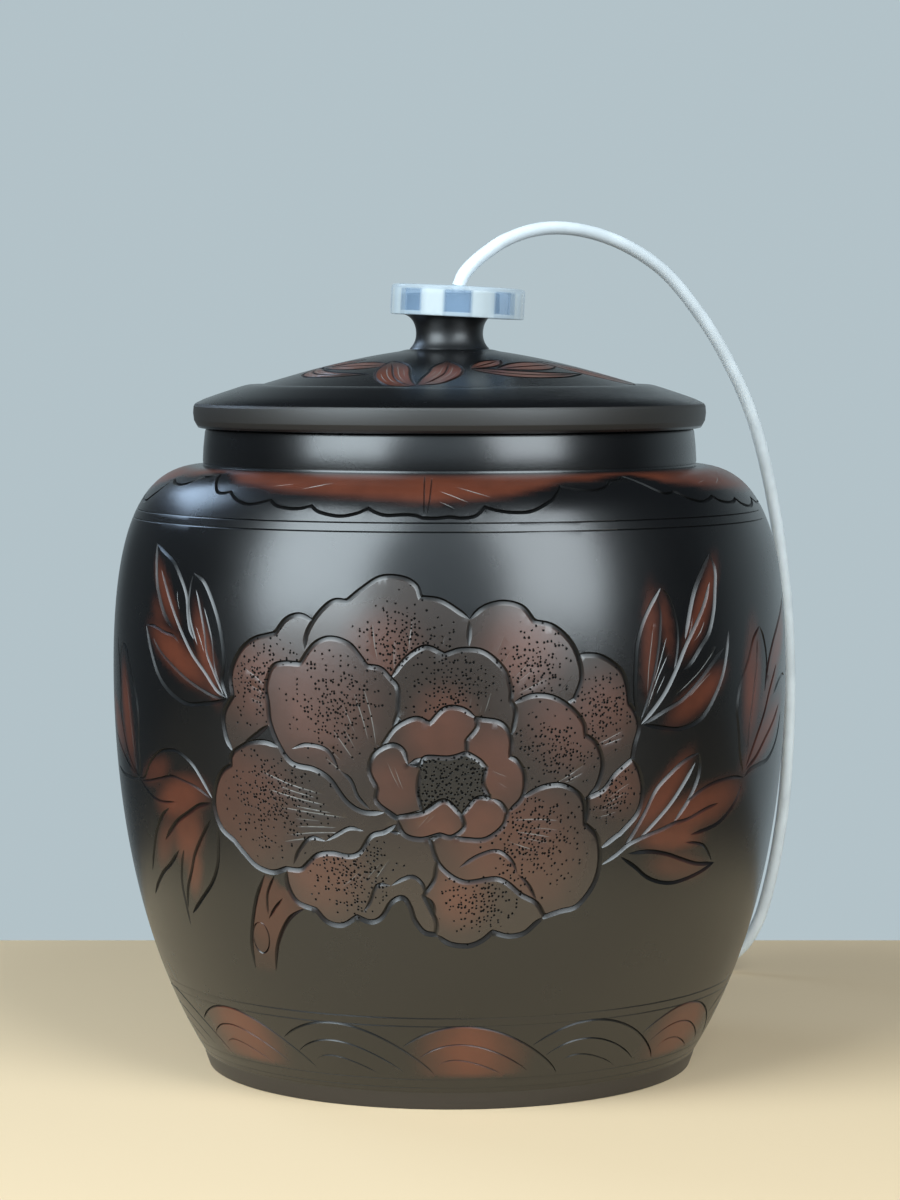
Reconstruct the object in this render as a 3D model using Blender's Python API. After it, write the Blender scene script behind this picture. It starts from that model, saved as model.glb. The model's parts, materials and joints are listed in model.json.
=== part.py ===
"""A lidded clay water jar with a hose drawn through its knob. Metres, +Z up, origin at the middle of the base."""

import math

import bmesh
import bpy
from mathutils import Matrix, Vector

# Clearance between pieces that touch or seat on each other
GAP = 0.0003

# Jar body: outside
FOOT_R = 0.1084
FOOT_BAND_R = 0.1108
FOOT_BAND_H = 0.0076
BELLY_R = 0.150
BELLY_Z = 0.177
COLLAR_R = 0.110
COLLAR_Z = 0.2679
COLLAR_H = 0.0161
COLLAR_TAPER = 0.0012
# Bezier handles of the wall's two curves
FLARE_OUT = 0.0322
FLARE_UP = 0.0532
BELLY_BELOW = 0.048
BELLY_ABOVE = 0.066
SHOULDER_OUT = 0.0264

# Jar body: inside and underside
WALL = 0.007
COLLAR_WALL = 0.0075
FLOOR = 0.009
FLOOR_FILLET = 0.014
FOOT_RING_W = 0.012
FOOT_RECESS = 0.0015
LIP_ROUND = 0.0012

# Lid
LID_OVERHANG = 0.0053
LID_UNDERCUT = 0.0019
RIM_H = 0.0113
RIM_ROUND = 0.0026
RING_INNER_R = 0.0885
RING_RISE = 0.0078
NOTCH_W = 0.0030
NOTCH_DEPTH = 0.0005
DOME_RISE = 0.0145
LID_WALL = 0.007
PLUG_CLEAR = 0.0015
PLUG_WALL = 0.005
PLUG_DROP = 0.0088

# Knob
KNOB_COVE_R = 0.0235
KNOB_FOOT_R = 0.0176
KNOB_FOOT_RISE = 0.0012
NECK_R = 0.0149
NECK_RISE = 0.0078
DISC_R = 0.0222
DISC_RISE = 0.0170
DISC_H = 0.0089
DISC_ROUND = 0.0010
BORE_R = 0.008

# Cap over the knob
CAP_R = 0.0298
CAP_H = 0.0135
CAP_WALL = 0.0016
CAP_TOP = 0.0018
CAP_ROUND = 0.0014
CAP_RIBS = 8
RIB_W = 0.0104
RIB_DEPTH = 0.0018
CAP_TILT = math.radians(2.8)

# Hose
HOSE_R = 0.003
HOSE_BORE_R = 0.002
DIP_X = -0.0075
DIP_Y = 0.002
DIP_HANDLE = 0.100
STRAIGHT_END = 0.003
ARCH_STEP = 0.013
DROP_STEP = 0.0155

# Strainer on the hose's inner end
CAGE_R = 0.007
CAGE_WALL = 0.0012
CAGE_BASE = 0.0012
CAGE_H = 0.030
SLOTS = 8
SLOT_W = 0.0016
SLOT_H = 0.017
SLOT_Z = 0.004
FLANGE_H = 0.004
PLUG_IN = 0.006
NIPPLE_R = 0.0017
NIPPLE_WAIST = 0.0014
NIPPLE_H = 0.013
SPIGOT_BORE_R = 0.0010

# Coil of spare hose behind the jar
COIL_X = 0.020
COIL_Y = 0.172
COIL_R = 0.038
COIL_PITCH = 0.0066
COIL_LAYER_TURNS = 1.5
CLIMB_TURNS = 0.5
LOOP_POINTS = 24
LEAD_IN = 0.018
TAIL = 0.014
TIE_WALL = 0.0010
TIE_W = 0.0055

SEGMENTS = 48
FINE_SEGMENTS = 40
SMALL_SEGMENTS = 20

# Worked out from the sizes above
JAR_H = COLLAR_Z + COLLAR_H
COLLAR_TOP_R = COLLAR_R - COLLAR_TAPER
MOUTH_R = COLLAR_TOP_R - COLLAR_WALL
SEAT_Z = JAR_H + GAP
RIM_R = COLLAR_TOP_R + LID_OVERHANG
RIM_TOP_Z = SEAT_Z + RIM_H
RING_Z = RIM_TOP_Z + RING_RISE
NOTCH_R = RING_INNER_R - NOTCH_W
DOME_TOP_Z = RING_Z + DOME_RISE
DISC_Z = DOME_TOP_Z + DISC_RISE
DISC_TOP_Z = DISC_Z + DISC_H
RIB_R = CAP_R - CAP_WALL - RIB_DEPTH
CAP_SHIFT = RIB_R - DISC_R - GAP
CAP_UNDER_Z = DISC_TOP_Z + GAP + (DISC_R - CAP_SHIFT) * math.tan(CAP_TILT)
CAGE_Z = FLOOR + GAP
CAGE_TOP_Z = CAGE_Z + CAGE_H
FLANGE_Z = CAGE_TOP_Z + GAP
FLANGE_TOP_Z = FLANGE_Z + FLANGE_H
COIL_TURNS = 2 * COIL_LAYER_TURNS + CLIMB_TURNS
COIL_LOW_Z = HOSE_R + 0.00005
TIE_ROOM = GAP + 0.00035
TIE_LIFT = TIE_WALL + TIE_ROOM

# The free hose's route, up from the cap, over to the right and down behind the jar
ARCH_ROUTE = [
    (0.0062, 0.0005, 0.3520),
    (0.0105, 0.0022, 0.3571),
    (0.0165, 0.0058, 0.3621),
    (0.0250, 0.0120, 0.3677),
    (0.0372, 0.0210, 0.3723),
    (0.0501, 0.0310, 0.3738),
    (0.0642, 0.0420, 0.3722),
    (0.0785, 0.0530, 0.3677),
    (0.0916, 0.0630, 0.3608),
    (0.1030, 0.0720, 0.3520),
    (0.1148, 0.0820, 0.3386),
]
DROP_ROUTE = [
    (0.1257, 0.0920, 0.3237),
    (0.1358, 0.1025, 0.3065),
    (0.1433, 0.1115, 0.2910),
    (0.1490, 0.1195, 0.2755),
    (0.1542, 0.1280, 0.2573),
    (0.1584, 0.1360, 0.2395),
    (0.1620, 0.1435, 0.2210),
    (0.1655, 0.1520, 0.1975),
    (0.1680, 0.1600, 0.1735),
    (0.1695, 0.1690, 0.1450),
    (0.1696, 0.1770, 0.1180),
    (0.1686, 0.1840, 0.0920),
    (0.1660, 0.1905, 0.0670),
    (0.1622, 0.1960, 0.0450),
    (0.1575, 0.2005, 0.0275),
    (0.1500, 0.2050, 0.0135),
    (0.1395, 0.2085, 0.0058),
    (0.1260, 0.2108, 0.0033),
    (0.1060, 0.2116, 0.0031),
    (0.0820, 0.2112, 0.0032),
    (0.0580, 0.2104, 0.0035),
]


def clear_scene():
    for thing in list(bpy.data.objects):
        bpy.data.objects.remove(thing)


def material(name, colour, roughness, metallic=0.0):
    made = bpy.data.materials.new(name)
    made.use_nodes = True
    shader = made.node_tree.nodes["Principled BSDF"]
    shader.inputs["Base Color"].default_value = (*colour, 1.0)
    shader.inputs["Roughness"].default_value = roughness
    shader.inputs["Metallic"].default_value = metallic
    made.diffuse_color = (*colour, 1.0)
    return made


def add_object(name, mesh, finish=None):
    made = bpy.data.objects.new(name, mesh)
    bpy.context.scene.collection.objects.link(made)
    if finish:
        mesh.materials.append(finish)
    return made


def add_mesh(name, bm, finish=None):
    """The bmesh as an object, closed, facing out and shaded smooth between its edges."""
    bmesh.ops.remove_doubles(bm, verts=bm.verts, dist=1e-7)
    bmesh.ops.recalc_face_normals(bm, faces=bm.faces)
    mesh = bpy.data.meshes.new(name)
    bm.to_mesh(mesh)
    bm.free()
    mesh.shade_smooth()
    mesh.set_sharp_from_angle(angle=math.radians(35))
    return add_object(name, mesh, finish)


def as_cutter(thing):
    thing.hide_render = True
    thing.display_type = "WIRE"
    return thing


def cut(thing, cutter):
    """Takes the cutter's shape out of a piece."""
    step = thing.modifiers.new("cut " + cutter.name, "BOOLEAN")
    step.operation = "DIFFERENCE"
    step.solver = "EXACT"
    step.object = as_cutter(cutter)


def bezier(start, out, back, end, steps):
    """Points along a cubic curve, its start left out and its end kept."""
    points = []
    for i in range(1, steps + 1):
        t = i / steps
        u = 1 - t
        weights = (u**3, 3 * u * u * t, 3 * u * t * t, t**3)
        ends = (start, out, back, end)
        points.append(tuple(sum(w * p[k] for w, p in zip(weights, ends)) for k in range(len(start))))
    return points


def arc(centre, radius, first, last, steps):
    """Points on an arc in the turning plane, both ends kept, angles in degrees."""
    points = []
    for i in range(steps + 1):
        a = math.radians(first + (last - first) * i / steps)
        points.append((centre[0] + radius * math.cos(a), centre[1] + radius * math.sin(a)))
    return points


def inward(points, wall):
    """The turned outline moved in by the wall along its own normals, in reverse order."""
    moved = []
    for i, (r, z) in enumerate(points):
        before = points[max(i - 1, 0)]
        after = points[min(i + 1, len(points) - 1)]
        run = (after[0] - before[0], after[1] - before[1])
        length = math.hypot(*run)
        moved.append((r - wall * run[1] / length, z + wall * run[0] / length))
    return moved[::-1]


def turned(name, outline, segments, finish=None, place=None):
    """A closed outline of (radius, height) points turned round +Z, then put in its place."""
    bm = bmesh.new()
    verts = [bm.verts.new((r, 0, z)) for r, z in outline]
    edges = [bm.edges.new((verts[i], verts[i + 1])) for i in range(len(verts) - 1)]
    if outline[0][0] > 0:
        edges.append(bm.edges.new((verts[-1], verts[0])))
    bmesh.ops.spin(
        bm,
        geom=verts + edges,
        cent=(0, 0, 0),
        axis=(0, 0, 1),
        angle=2 * math.pi,
        steps=segments,
        use_merge=True,
    )
    if place:
        bm.transform(place)
    return add_mesh(name, bm, finish)


def prism(name, outline, low, high, finish=None, place=None):
    """An outline of (x, y) points as a straight prism between two heights, then put in its place."""
    bm = bmesh.new()
    base = bm.faces.new([bm.verts.new((x, y, low)) for x, y in outline])
    risen = bmesh.ops.extrude_face_region(bm, geom=[base])["geom"]
    verts = [v for v in risen if isinstance(v, bmesh.types.BMVert)]
    bmesh.ops.translate(bm, verts=verts, vec=(0, 0, high - low))
    if place:
        bm.transform(place)
    return add_mesh(name, bm, finish)


def rounded_box(half_x, half_y, radius, steps):
    """The outline of a rectangle with round corners."""
    points = []
    for k, (sx, sy) in enumerate(((1, 1), (-1, 1), (-1, -1), (1, -1))):
        centre = (sx * (half_x - radius), sy * (half_y - radius))
        points += arc(centre, radius, 90 * k, 90 * k + 90, steps)
    return points


def tube(name, points, radius, resolution, finish=None):
    """A solid round tube along the points."""
    curve = bpy.data.curves.new(name, "CURVE")
    curve.dimensions = "3D"
    curve.bevel_depth = radius
    curve.bevel_resolution = resolution
    curve.use_fill_caps = True
    line = curve.splines.new("POLY")
    line.points.add(len(points) - 1)
    for point, place in zip(line.points, points):
        point.co = (*place, 1.0)
    return add_object(name, curve, finish)


def hollow_tube(name, points, radius, bore, finish):
    """An open tube with a bore along the points."""
    sides = 12
    bm = bmesh.new()
    rings = []
    side = Vector((1, 0, 0))
    for i, point in enumerate(points):
        run = (points[min(i + 1, len(points) - 1)] - points[max(i - 1, 0)]).normalized()
        side = (side - run * side.dot(run)).normalized()
        across = run.cross(side)
        pair = []
        for r in (radius, bore):
            turns = [2 * math.pi * k / sides for k in range(sides)]
            pair.append([bm.verts.new(point + side * r * math.cos(a) + across * r * math.sin(a)) for a in turns])
        rings.append(pair)
    loops = [rings[i][0] for i in range(len(rings))] + [rings[i][1] for i in range(len(rings))][::-1]
    for a, b in zip(loops, loops[1:] + loops[:1]):
        for k in range(sides):
            j = (k + 1) % sides
            bm.faces.new((a[k], a[j], b[j], b[k]))
    return add_mesh(name, bm, finish)


def smooth_line(route, step):
    """Evenly spaced points on a smooth curve through the route's own points."""
    fine = []
    for i in range(len(route) - 1):
        before = Vector(route[max(i - 1, 0)])
        here = Vector(route[i])
        there = Vector(route[i + 1])
        after = Vector(route[min(i + 2, len(route) - 1)])
        for k in range(12):
            t = k / 12
            bend = 2 * before - 5 * here + 4 * there - after
            twist = 3 * here - before - 3 * there + after
            fine.append(here + 0.5 * t * ((there - before) + t * (bend + t * twist)))
    fine.append(Vector(route[-1]))
    along = [0.0]
    for a, b in zip(fine, fine[1:]):
        along.append(along[-1] + (b - a).length)
    count = max(2, round(along[-1] / step))
    points = []
    k = 0
    for i in range(count + 1):
        goal = along[-1] * i / count
        while k < len(fine) - 2 and along[k + 1] < goal:
            k += 1
        share = (goal - along[k]) / max(along[k + 1] - along[k], 1e-12)
        points.append(fine[k].lerp(fine[k + 1], share))
    return points


def hose_piece(name, route, way_out, way_in, gaps, step, finish):
    """A length of hose that leaves and ends along two given directions, a gap short of its neighbours."""
    start = Vector(route[0])
    end = Vector(route[-1])
    between = [start + way_out * STRAIGHT_END, *route[1:-1], end - way_in * STRAIGHT_END]
    line = [start + way_out * gaps[0], *smooth_line(between, step), end - way_in * gaps[1]]
    length = sum((b - a).length for a, b in zip(line, line[1:]))
    print(name, "length:", round(length, 4), "m")
    return tube(name, line, HOSE_R, 3, finish)


def wall_outline():
    """The jar's outside from the foot band up to the foot of the collar."""
    foot = (FOOT_BAND_R, FOOT_BAND_H)
    belly = (BELLY_R, BELLY_Z)
    neck = (COLLAR_R, COLLAR_Z)
    flare = (FOOT_BAND_R + FLARE_OUT, FOOT_BAND_H + FLARE_UP)
    lower = bezier(foot, flare, (BELLY_R, BELLY_Z - BELLY_BELOW), belly, 12)
    over = (BELLY_R, BELLY_Z + BELLY_ABOVE)
    upper = bezier(belly, over, (COLLAR_R + SHOULDER_OUT, COLLAR_Z), neck, 14)
    return [foot] + lower + upper


def wall_inside():
    """The jar's inside from the throat down to the curve that meets the floor."""
    points = inward(wall_outline(), WALL)
    return [p for p in points if p[1] > FLOOR + FLOOR_FILLET and p[0] > MOUTH_R + WALL]


def floor_radius():
    """Where the flat floor slab meets the wall's inner curve."""
    return wall_inside()[-1][0] - FLOOR_FILLET * 1.35


def make_jar(finish):
    outside = wall_outline()
    inside = wall_inside()
    foot_inner = inside[-1][0] - FLOOR_FILLET * 0.35
    throat_z = COLLAR_Z - WALL
    outline = [
        (floor_radius(), FOOT_RECESS),
        (FOOT_R - FOOT_RING_W - FOOT_RECESS, FOOT_RECESS),
        (FOOT_R - FOOT_RING_W, 0.0),
        (FOOT_R - FOOT_RECESS, 0.0),
        (FOOT_R, FOOT_RECESS * 0.5),
    ]
    outline += outside
    outline += [
        (COLLAR_TOP_R, JAR_H - LIP_ROUND),
        (COLLAR_TOP_R - LIP_ROUND, JAR_H),
        (MOUTH_R + LIP_ROUND, JAR_H),
        (MOUTH_R, JAR_H - LIP_ROUND),
        (MOUTH_R, throat_z + LIP_ROUND),
        (MOUTH_R + LIP_ROUND, throat_z),
    ]
    outline += inside
    outline += [
        (foot_inner, FLOOR + FLOOR_FILLET * 0.45),
        (foot_inner - FLOOR_FILLET * 0.4, FLOOR + FLOOR_FILLET * 0.1),
        (floor_radius(), FLOOR),
    ]
    return turned("jar_body", outline, SEGMENTS, finish)


def make_floor(finish):
    """The round clay slab that closes the jar's bottom. The wall is luted on round its edge."""
    edge = floor_radius()
    outline = [(0.0, FOOT_RECESS), (edge, FOOT_RECESS), (edge, FLOOR), (0.0, FLOOR)]
    return turned("jar_floor", outline, SEGMENTS, finish)


def dome_outline():
    """The lid's top from the notch inside the raised ring up to the cove round the knob."""
    start = (NOTCH_R, RING_Z - NOTCH_DEPTH)
    end = (KNOB_COVE_R, DOME_TOP_Z)
    out = (NOTCH_R - 0.35 * (NOTCH_R - KNOB_COVE_R), RING_Z + 0.45 * DOME_RISE)
    back = (KNOB_COVE_R + 0.35 * (NOTCH_R - KNOB_COVE_R), DOME_TOP_Z - 0.22 * DOME_RISE)
    return [start] + bezier(start, out, back, end, 7)


def knob_outline():
    """From the cove at the dome's top up the neck, out to the disc and over its top to the bore."""
    foot = (KNOB_FOOT_R, DOME_TOP_Z + KNOB_FOOT_RISE)
    neck = (NECK_R, DOME_TOP_Z + NECK_RISE)
    disc = (DISC_R, DISC_Z)
    rise = NECK_RISE - KNOB_FOOT_RISE
    run = DISC_RISE - NECK_RISE
    points = [foot]
    points += bezier(foot, (KNOB_FOOT_R - 0.5 * (KNOB_FOOT_R - NECK_R), foot[1] + 0.3 * rise), (NECK_R, neck[1] - 0.4 * rise), neck, 4)
    points += bezier(neck, (NECK_R, neck[1] + 0.55 * run), (DISC_R - 0.75 * (DISC_R - NECK_R), DISC_Z - 0.15 * run), disc, 7)
    points += [
        (DISC_R, DISC_TOP_Z - DISC_ROUND),
        (DISC_R - 0.3 * DISC_ROUND, DISC_TOP_Z - 0.3 * DISC_ROUND),
        (DISC_R - DISC_ROUND, DISC_TOP_Z),
        (BORE_R + DISC_ROUND, DISC_TOP_Z),
        (BORE_R, DISC_TOP_Z - DISC_ROUND),
    ]
    return points


def make_lid(finish):
    dome = dome_outline()
    plug_outer = MOUTH_R - PLUG_CLEAR
    plug_inner = plug_outer - PLUG_WALL
    plug_z = SEAT_Z - PLUG_DROP
    shoulder = (RIM_R - RIM_ROUND * 1.8, RIM_TOP_Z + RIM_ROUND * 0.75)
    outline = [
        (plug_outer, SEAT_Z),
        (RIM_R - LID_UNDERCUT - 0.0010, SEAT_Z),
        (RIM_R - LID_UNDERCUT, SEAT_Z + 0.0008),
        (RIM_R - 0.0004, SEAT_Z + 0.30 * RIM_H),
        (RIM_R, SEAT_Z + 0.58 * RIM_H),
        (RIM_R - 0.0003, RIM_TOP_Z - 0.16 * RIM_H),
        (RIM_R - RIM_ROUND * 0.65, RIM_TOP_Z),
        shoulder,
    ]
    ring_top = (RING_INNER_R + NOTCH_W, RING_Z - 0.0003)
    rise = ring_top[1] - shoulder[1]
    run = shoulder[0] - ring_top[0]
    outline += bezier(shoulder, (shoulder[0] - 0.35 * run, shoulder[1] + 0.42 * rise), (ring_top[0] + 0.3 * run, ring_top[1] - 0.16 * rise), ring_top, 4)
    outline.append((RING_INNER_R, RING_Z))
    outline += dome
    outline.append((0.5 * (KNOB_COVE_R + KNOB_FOOT_R) - 0.0008, DOME_TOP_Z + 0.35 * KNOB_FOOT_RISE))
    outline += knob_outline()
    under = [p for p in inward(dome, LID_WALL) if p[0] < plug_inner - LID_WALL]
    top_z = under[0][1]
    outline += [(BORE_R, top_z + 0.001), (BORE_R + 0.001, top_z)]
    outline += under
    corner_z = under[-1][1]
    outline += [
        (plug_inner - 0.6 * LID_WALL, corner_z - 0.18 * LID_WALL),
        (plug_inner, corner_z - 0.75 * LID_WALL),
        (plug_inner, plug_z + LIP_ROUND),
        (plug_inner + LIP_ROUND, plug_z),
        (plug_outer - LIP_ROUND, plug_z),
        (plug_outer, plug_z + LIP_ROUND),
    ]
    return turned("lid", outline, SEGMENTS, finish)


def cap_place():
    """The cap leans to the right: it hangs on the disc's left edge and rests on its right one."""
    return Matrix.Translation((CAP_SHIFT, 0, CAP_UNDER_Z)) @ Matrix.Rotation(CAP_TILT, 4, "Y")


def scallop_outline():
    """The hollow of the cap, with the ribs standing into it. The first two ribs flank the front."""
    half_rib = 0.5 * RIB_W / RIB_R
    points = []
    for k in range(CAP_RIBS):
        middle = 2 * math.pi * (k + 0.5) / CAP_RIBS - math.pi / 2
        for i in range(3):
            a = middle + half_rib * (i - 1)
            points.append((RIB_R * math.cos(a), RIB_R * math.sin(a)))
        first = middle + half_rib + 0.02
        last = middle + 2 * math.pi / CAP_RIBS - half_rib - 0.02
        for i in range(4):
            a = first + (last - first) * i / 3
            points.append(((CAP_R - CAP_WALL) * math.cos(a), (CAP_R - CAP_WALL) * math.sin(a)))
    return points


def make_cap(finish):
    hole = HOSE_R + GAP
    skirt = CAP_TOP - CAP_H
    edge = arc((CAP_R - CAP_ROUND, CAP_TOP - CAP_ROUND), CAP_ROUND, 0, 90, 3)
    outline = [(hole, skirt), (CAP_R - 0.0004, skirt), (CAP_R, skirt + 0.0004)] + edge + [(hole, CAP_TOP)]
    cap = turned("knob_cap", outline, FINE_SEGMENTS, finish, cap_place())
    cut(cap, prism("cap_hollow", scallop_outline(), skirt - 0.002, 0.0, place=cap_place()))
    return cap


def cap_exit():
    """Where the hose comes out of the cap, on the cap's top."""
    return cap_place() @ Vector((0, 0, CAP_TOP))


def make_dip_hose(finish):
    """The hose inside the jar, from the cap's top through the knob and down onto the strainer."""
    top = cap_exit()
    axis = (cap_place().to_3x3() @ Vector((0, 0, 1))).normalized()
    foot = Vector((DIP_X, DIP_Y, FLANGE_TOP_Z + GAP))
    drop = Vector((0, 0, DIP_HANDLE))
    line = [top] + [Vector(p) for p in bezier(top, top - axis * DIP_HANDLE, foot + drop, foot, 18)]
    return hollow_tube("hose_dip", line, HOSE_R, HOSE_BORE_R, finish)


def make_strainer(finish_cage, finish_spigot):
    place = Matrix.Translation((DIP_X, DIP_Y, 0))
    inner = CAGE_R - CAGE_WALL
    edge = 0.0006
    cage = turned(
        "strainer_cage",
        [
            (0.0, CAGE_Z),
            (CAGE_R - edge, CAGE_Z),
            (CAGE_R, CAGE_Z + edge),
            (CAGE_R, CAGE_TOP_Z),
            (inner, CAGE_TOP_Z),
            (inner, CAGE_Z + CAGE_BASE),
            (0.0, CAGE_Z + CAGE_BASE),
        ],
        SMALL_SEGMENTS * 2,
        finish_cage,
        place,
    )
    low = CAGE_Z + SLOT_Z
    bm = bmesh.new()
    for k in range(SLOTS // 2):
        turn = Matrix.Rotation(2 * math.pi * (k + 0.25) / SLOTS, 4, "Z")
        size = Matrix.Diagonal((3 * CAGE_R, SLOT_W, SLOT_H, 1))
        # Each blade is a hair taller than the last, so that no two share a face
        middle = Matrix.Translation((0, 0, low + SLOT_H / 2 + 0.00002 * k))
        bmesh.ops.create_cube(bm, size=1, matrix=place @ turn @ middle @ size)
    mesh = bpy.data.meshes.new("cage_slots")
    bm.to_mesh(mesh)
    bm.free()
    slots = add_object("cage_slots", mesh)
    step = cage.modifiers.new("slots", "BOOLEAN")
    step.operation = "DIFFERENCE"
    step.solver = "EXACT"
    step.use_self = True
    step.object = as_cutter(slots)

    plug = inner - GAP
    top = FLANGE_TOP_Z
    spigot = turned(
        "strainer_spigot",
        [
            (SPIGOT_BORE_R, FLANGE_Z - PLUG_IN),
            (plug - edge, FLANGE_Z - PLUG_IN),
            (plug, FLANGE_Z - PLUG_IN + edge),
            (plug, FLANGE_Z),
            (CAGE_R, FLANGE_Z),
            (CAGE_R, top - edge),
            (CAGE_R - edge, top),
            (NIPPLE_WAIST, top),
            (NIPPLE_WAIST, top + 0.25 * NIPPLE_H),
            (NIPPLE_R, top + 0.27 * NIPPLE_H),
            (NIPPLE_WAIST, top + 0.60 * NIPPLE_H),
            (NIPPLE_R, top + 0.62 * NIPPLE_H),
            (NIPPLE_WAIST, top + NIPPLE_H),
            (SPIGOT_BORE_R, top + NIPPLE_H),
        ],
        SMALL_SEGMENTS,
        finish_spigot,
        place,
    )
    return cage, spigot


def coil_centre():
    return Vector((COIL_X, COIL_Y, 0))


def coil_point(turns):
    """The coil's middle line: in on the lower layer, up a layer, and out again on it."""
    turn_back = COIL_TURNS / 2
    radius = COIL_R - COIL_PITCH * (turn_back - abs(turns - turn_back))
    share = min(max((turns - COIL_LAYER_TURNS) / CLIMB_TURNS, 0.0), 1.0)
    climb = COIL_PITCH * share * share * (3 - 2 * share)
    angle = math.pi / 2 + 2 * math.pi * turns
    lift = TIE_LIFT * 0.5 * (1 - math.cos(angle))
    spot = Vector((radius * math.cos(angle), radius * math.sin(angle), COIL_LOW_Z + lift + climb))
    return coil_centre() + spot


def coil_way(turns):
    """The direction in which the coil runs there."""
    angle = math.pi / 2 + 2 * math.pi * turns
    return Vector((-math.sin(angle), math.cos(angle), 0))


def coil_line():
    steps = round(COIL_TURNS * LOOP_POINTS)
    line = [coil_point(COIL_TURNS * i / steps) for i in range(steps + 1)]
    lead = [line[0] - coil_way(0) * LEAD_IN * share for share in (1.0, 0.6, 0.3)]
    tail = [line[-1] + coil_way(COIL_TURNS) * TAIL * share for share in (0.5, 1.0)]
    return lead + line + tail


def least_gap(line, radius):
    """The smallest space between the coil's turns, measured between its points."""
    skip = LOOP_POINTS // 3
    nearest = min(
        (line[i] - line[j]).length for i in range(len(line)) for j in range(i + skip, len(line))
    )
    return nearest - 2 * radius


def make_coil(finish):
    line = coil_line()
    print("least gap between the coil's turns:", round(least_gap(line, HOSE_R) * 1000, 3), "mm")
    return tube("hose_coil", line, HOSE_R, 1, finish)


def make_tie(finish):
    """A band round the coil's two layers, where they lie squarely on each other."""
    middle_r = COIL_R - COIL_PITCH * 0.75
    half = COIL_PITCH / 2 + HOSE_R + TIE_ROOM
    centre = coil_centre() + Vector((-middle_r, 0, COIL_LOW_Z + TIE_LIFT + COIL_PITCH / 2))
    # The outline lies in x and y: turned up, its y runs along +Z and its height along -Y
    place = Matrix.Translation(centre) @ Matrix.Rotation(math.pi / 2, 4, "X")
    outer = half + TIE_WALL
    corner = HOSE_R * 0.8
    band = prism("coil_tie", rounded_box(outer, outer, corner + TIE_WALL, 4), -TIE_W / 2, TIE_W / 2, finish, place)
    cut(band, prism("tie_hollow", rounded_box(half, half, corner, 4), -TIE_W, TIE_W, place=place))
    return band


def make_free_hose(finish):
    """The arch that leaves the cap, and the run that comes down behind the jar to the coil."""
    coil_start = coil_line()[:2]
    up = cap_place().to_3x3() @ Vector((0, 0, 1))
    join = (Vector(DROP_ROUTE[0]) - Vector(ARCH_ROUTE[-2])).normalized()
    way_in = (coil_start[1] - coil_start[0]).normalized()
    arch = [cap_exit(), *ARCH_ROUTE]
    drop = [ARCH_ROUTE[-1], *DROP_ROUTE, coil_start[0]]
    hose_piece("hose_arch", arch, up, join, (GAP, GAP / 2), ARCH_STEP, finish)
    hose_piece("hose_drop", drop, join, way_in, (GAP / 2, GAP), DROP_STEP, finish)


def build():
    clear_scene()
    clay = material("burnished_clay", (0.022, 0.021, 0.022), 0.32)
    lid_clay = material("lid_clay", (0.024, 0.022, 0.023), 0.34)
    clear_rubber = material("cap_rubber", (0.62, 0.70, 0.76), 0.3)
    hose_rubber = material("hose_rubber", (0.80, 0.84, 0.87), 0.35)
    steel = material("strainer_steel", (0.62, 0.62, 0.60), 0.3, 1.0)
    spigot_steel = material("spigot_steel", (0.56, 0.56, 0.55), 0.28, 1.0)
    tie = material("tie_rubber", (0.85, 0.86, 0.86), 0.5)
    make_jar(clay)
    make_floor(clay)
    make_lid(lid_clay)
    make_cap(clear_rubber)
    make_dip_hose(hose_rubber)
    make_strainer(steel, spigot_steel)
    make_free_hose(hose_rubber)
    make_coil(hose_rubber)
    make_tie(tie)


build()
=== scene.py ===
# %% [markdown]
# # A carved clay water jar
#
# The jar is black-fired clay, burnished and then carved. Its hose is drawn through the lid's knob. The CAD
# model gives every piece its place, size and motion, but its surfaces are plain. This script keeps the places
# and gives the pieces their carved and rounded surfaces, their finishes, a camera and a stage.
#
# A drawing is easier to plan flat than on a bulging jar. So the carving is drawn in millimetres on the
# unrolled surface, as on a sheet of paper, and becomes metres when the sheet is laid on the jar.

# %% Tools, and the pieces of the CAD model
import json
import math
import random

import bmesh
import bpy
import numpy as np
from mathutils import Matrix, Vector, geometry, kdtree

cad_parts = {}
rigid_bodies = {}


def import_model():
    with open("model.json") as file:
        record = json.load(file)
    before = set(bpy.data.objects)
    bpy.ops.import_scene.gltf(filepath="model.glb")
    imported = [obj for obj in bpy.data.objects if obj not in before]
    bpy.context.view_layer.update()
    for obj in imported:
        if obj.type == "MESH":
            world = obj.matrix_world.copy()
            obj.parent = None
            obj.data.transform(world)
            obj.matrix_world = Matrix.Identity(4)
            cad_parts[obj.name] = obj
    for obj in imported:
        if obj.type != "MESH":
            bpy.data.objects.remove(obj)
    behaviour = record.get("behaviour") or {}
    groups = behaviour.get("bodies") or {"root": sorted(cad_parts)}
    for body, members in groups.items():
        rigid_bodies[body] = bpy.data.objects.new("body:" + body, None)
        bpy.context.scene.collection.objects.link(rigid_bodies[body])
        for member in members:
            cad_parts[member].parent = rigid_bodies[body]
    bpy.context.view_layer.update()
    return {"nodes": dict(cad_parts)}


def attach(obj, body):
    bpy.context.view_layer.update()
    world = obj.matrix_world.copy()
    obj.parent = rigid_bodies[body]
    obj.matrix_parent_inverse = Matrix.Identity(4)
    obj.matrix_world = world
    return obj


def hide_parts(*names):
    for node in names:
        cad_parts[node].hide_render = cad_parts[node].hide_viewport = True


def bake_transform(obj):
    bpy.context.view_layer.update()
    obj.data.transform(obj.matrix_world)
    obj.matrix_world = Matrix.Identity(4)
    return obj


for thing in list(bpy.data.objects):
    bpy.data.objects.remove(thing)
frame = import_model()
nodes = frame["nodes"]
print("pieces of the CAD model:", *sorted(nodes))

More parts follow.
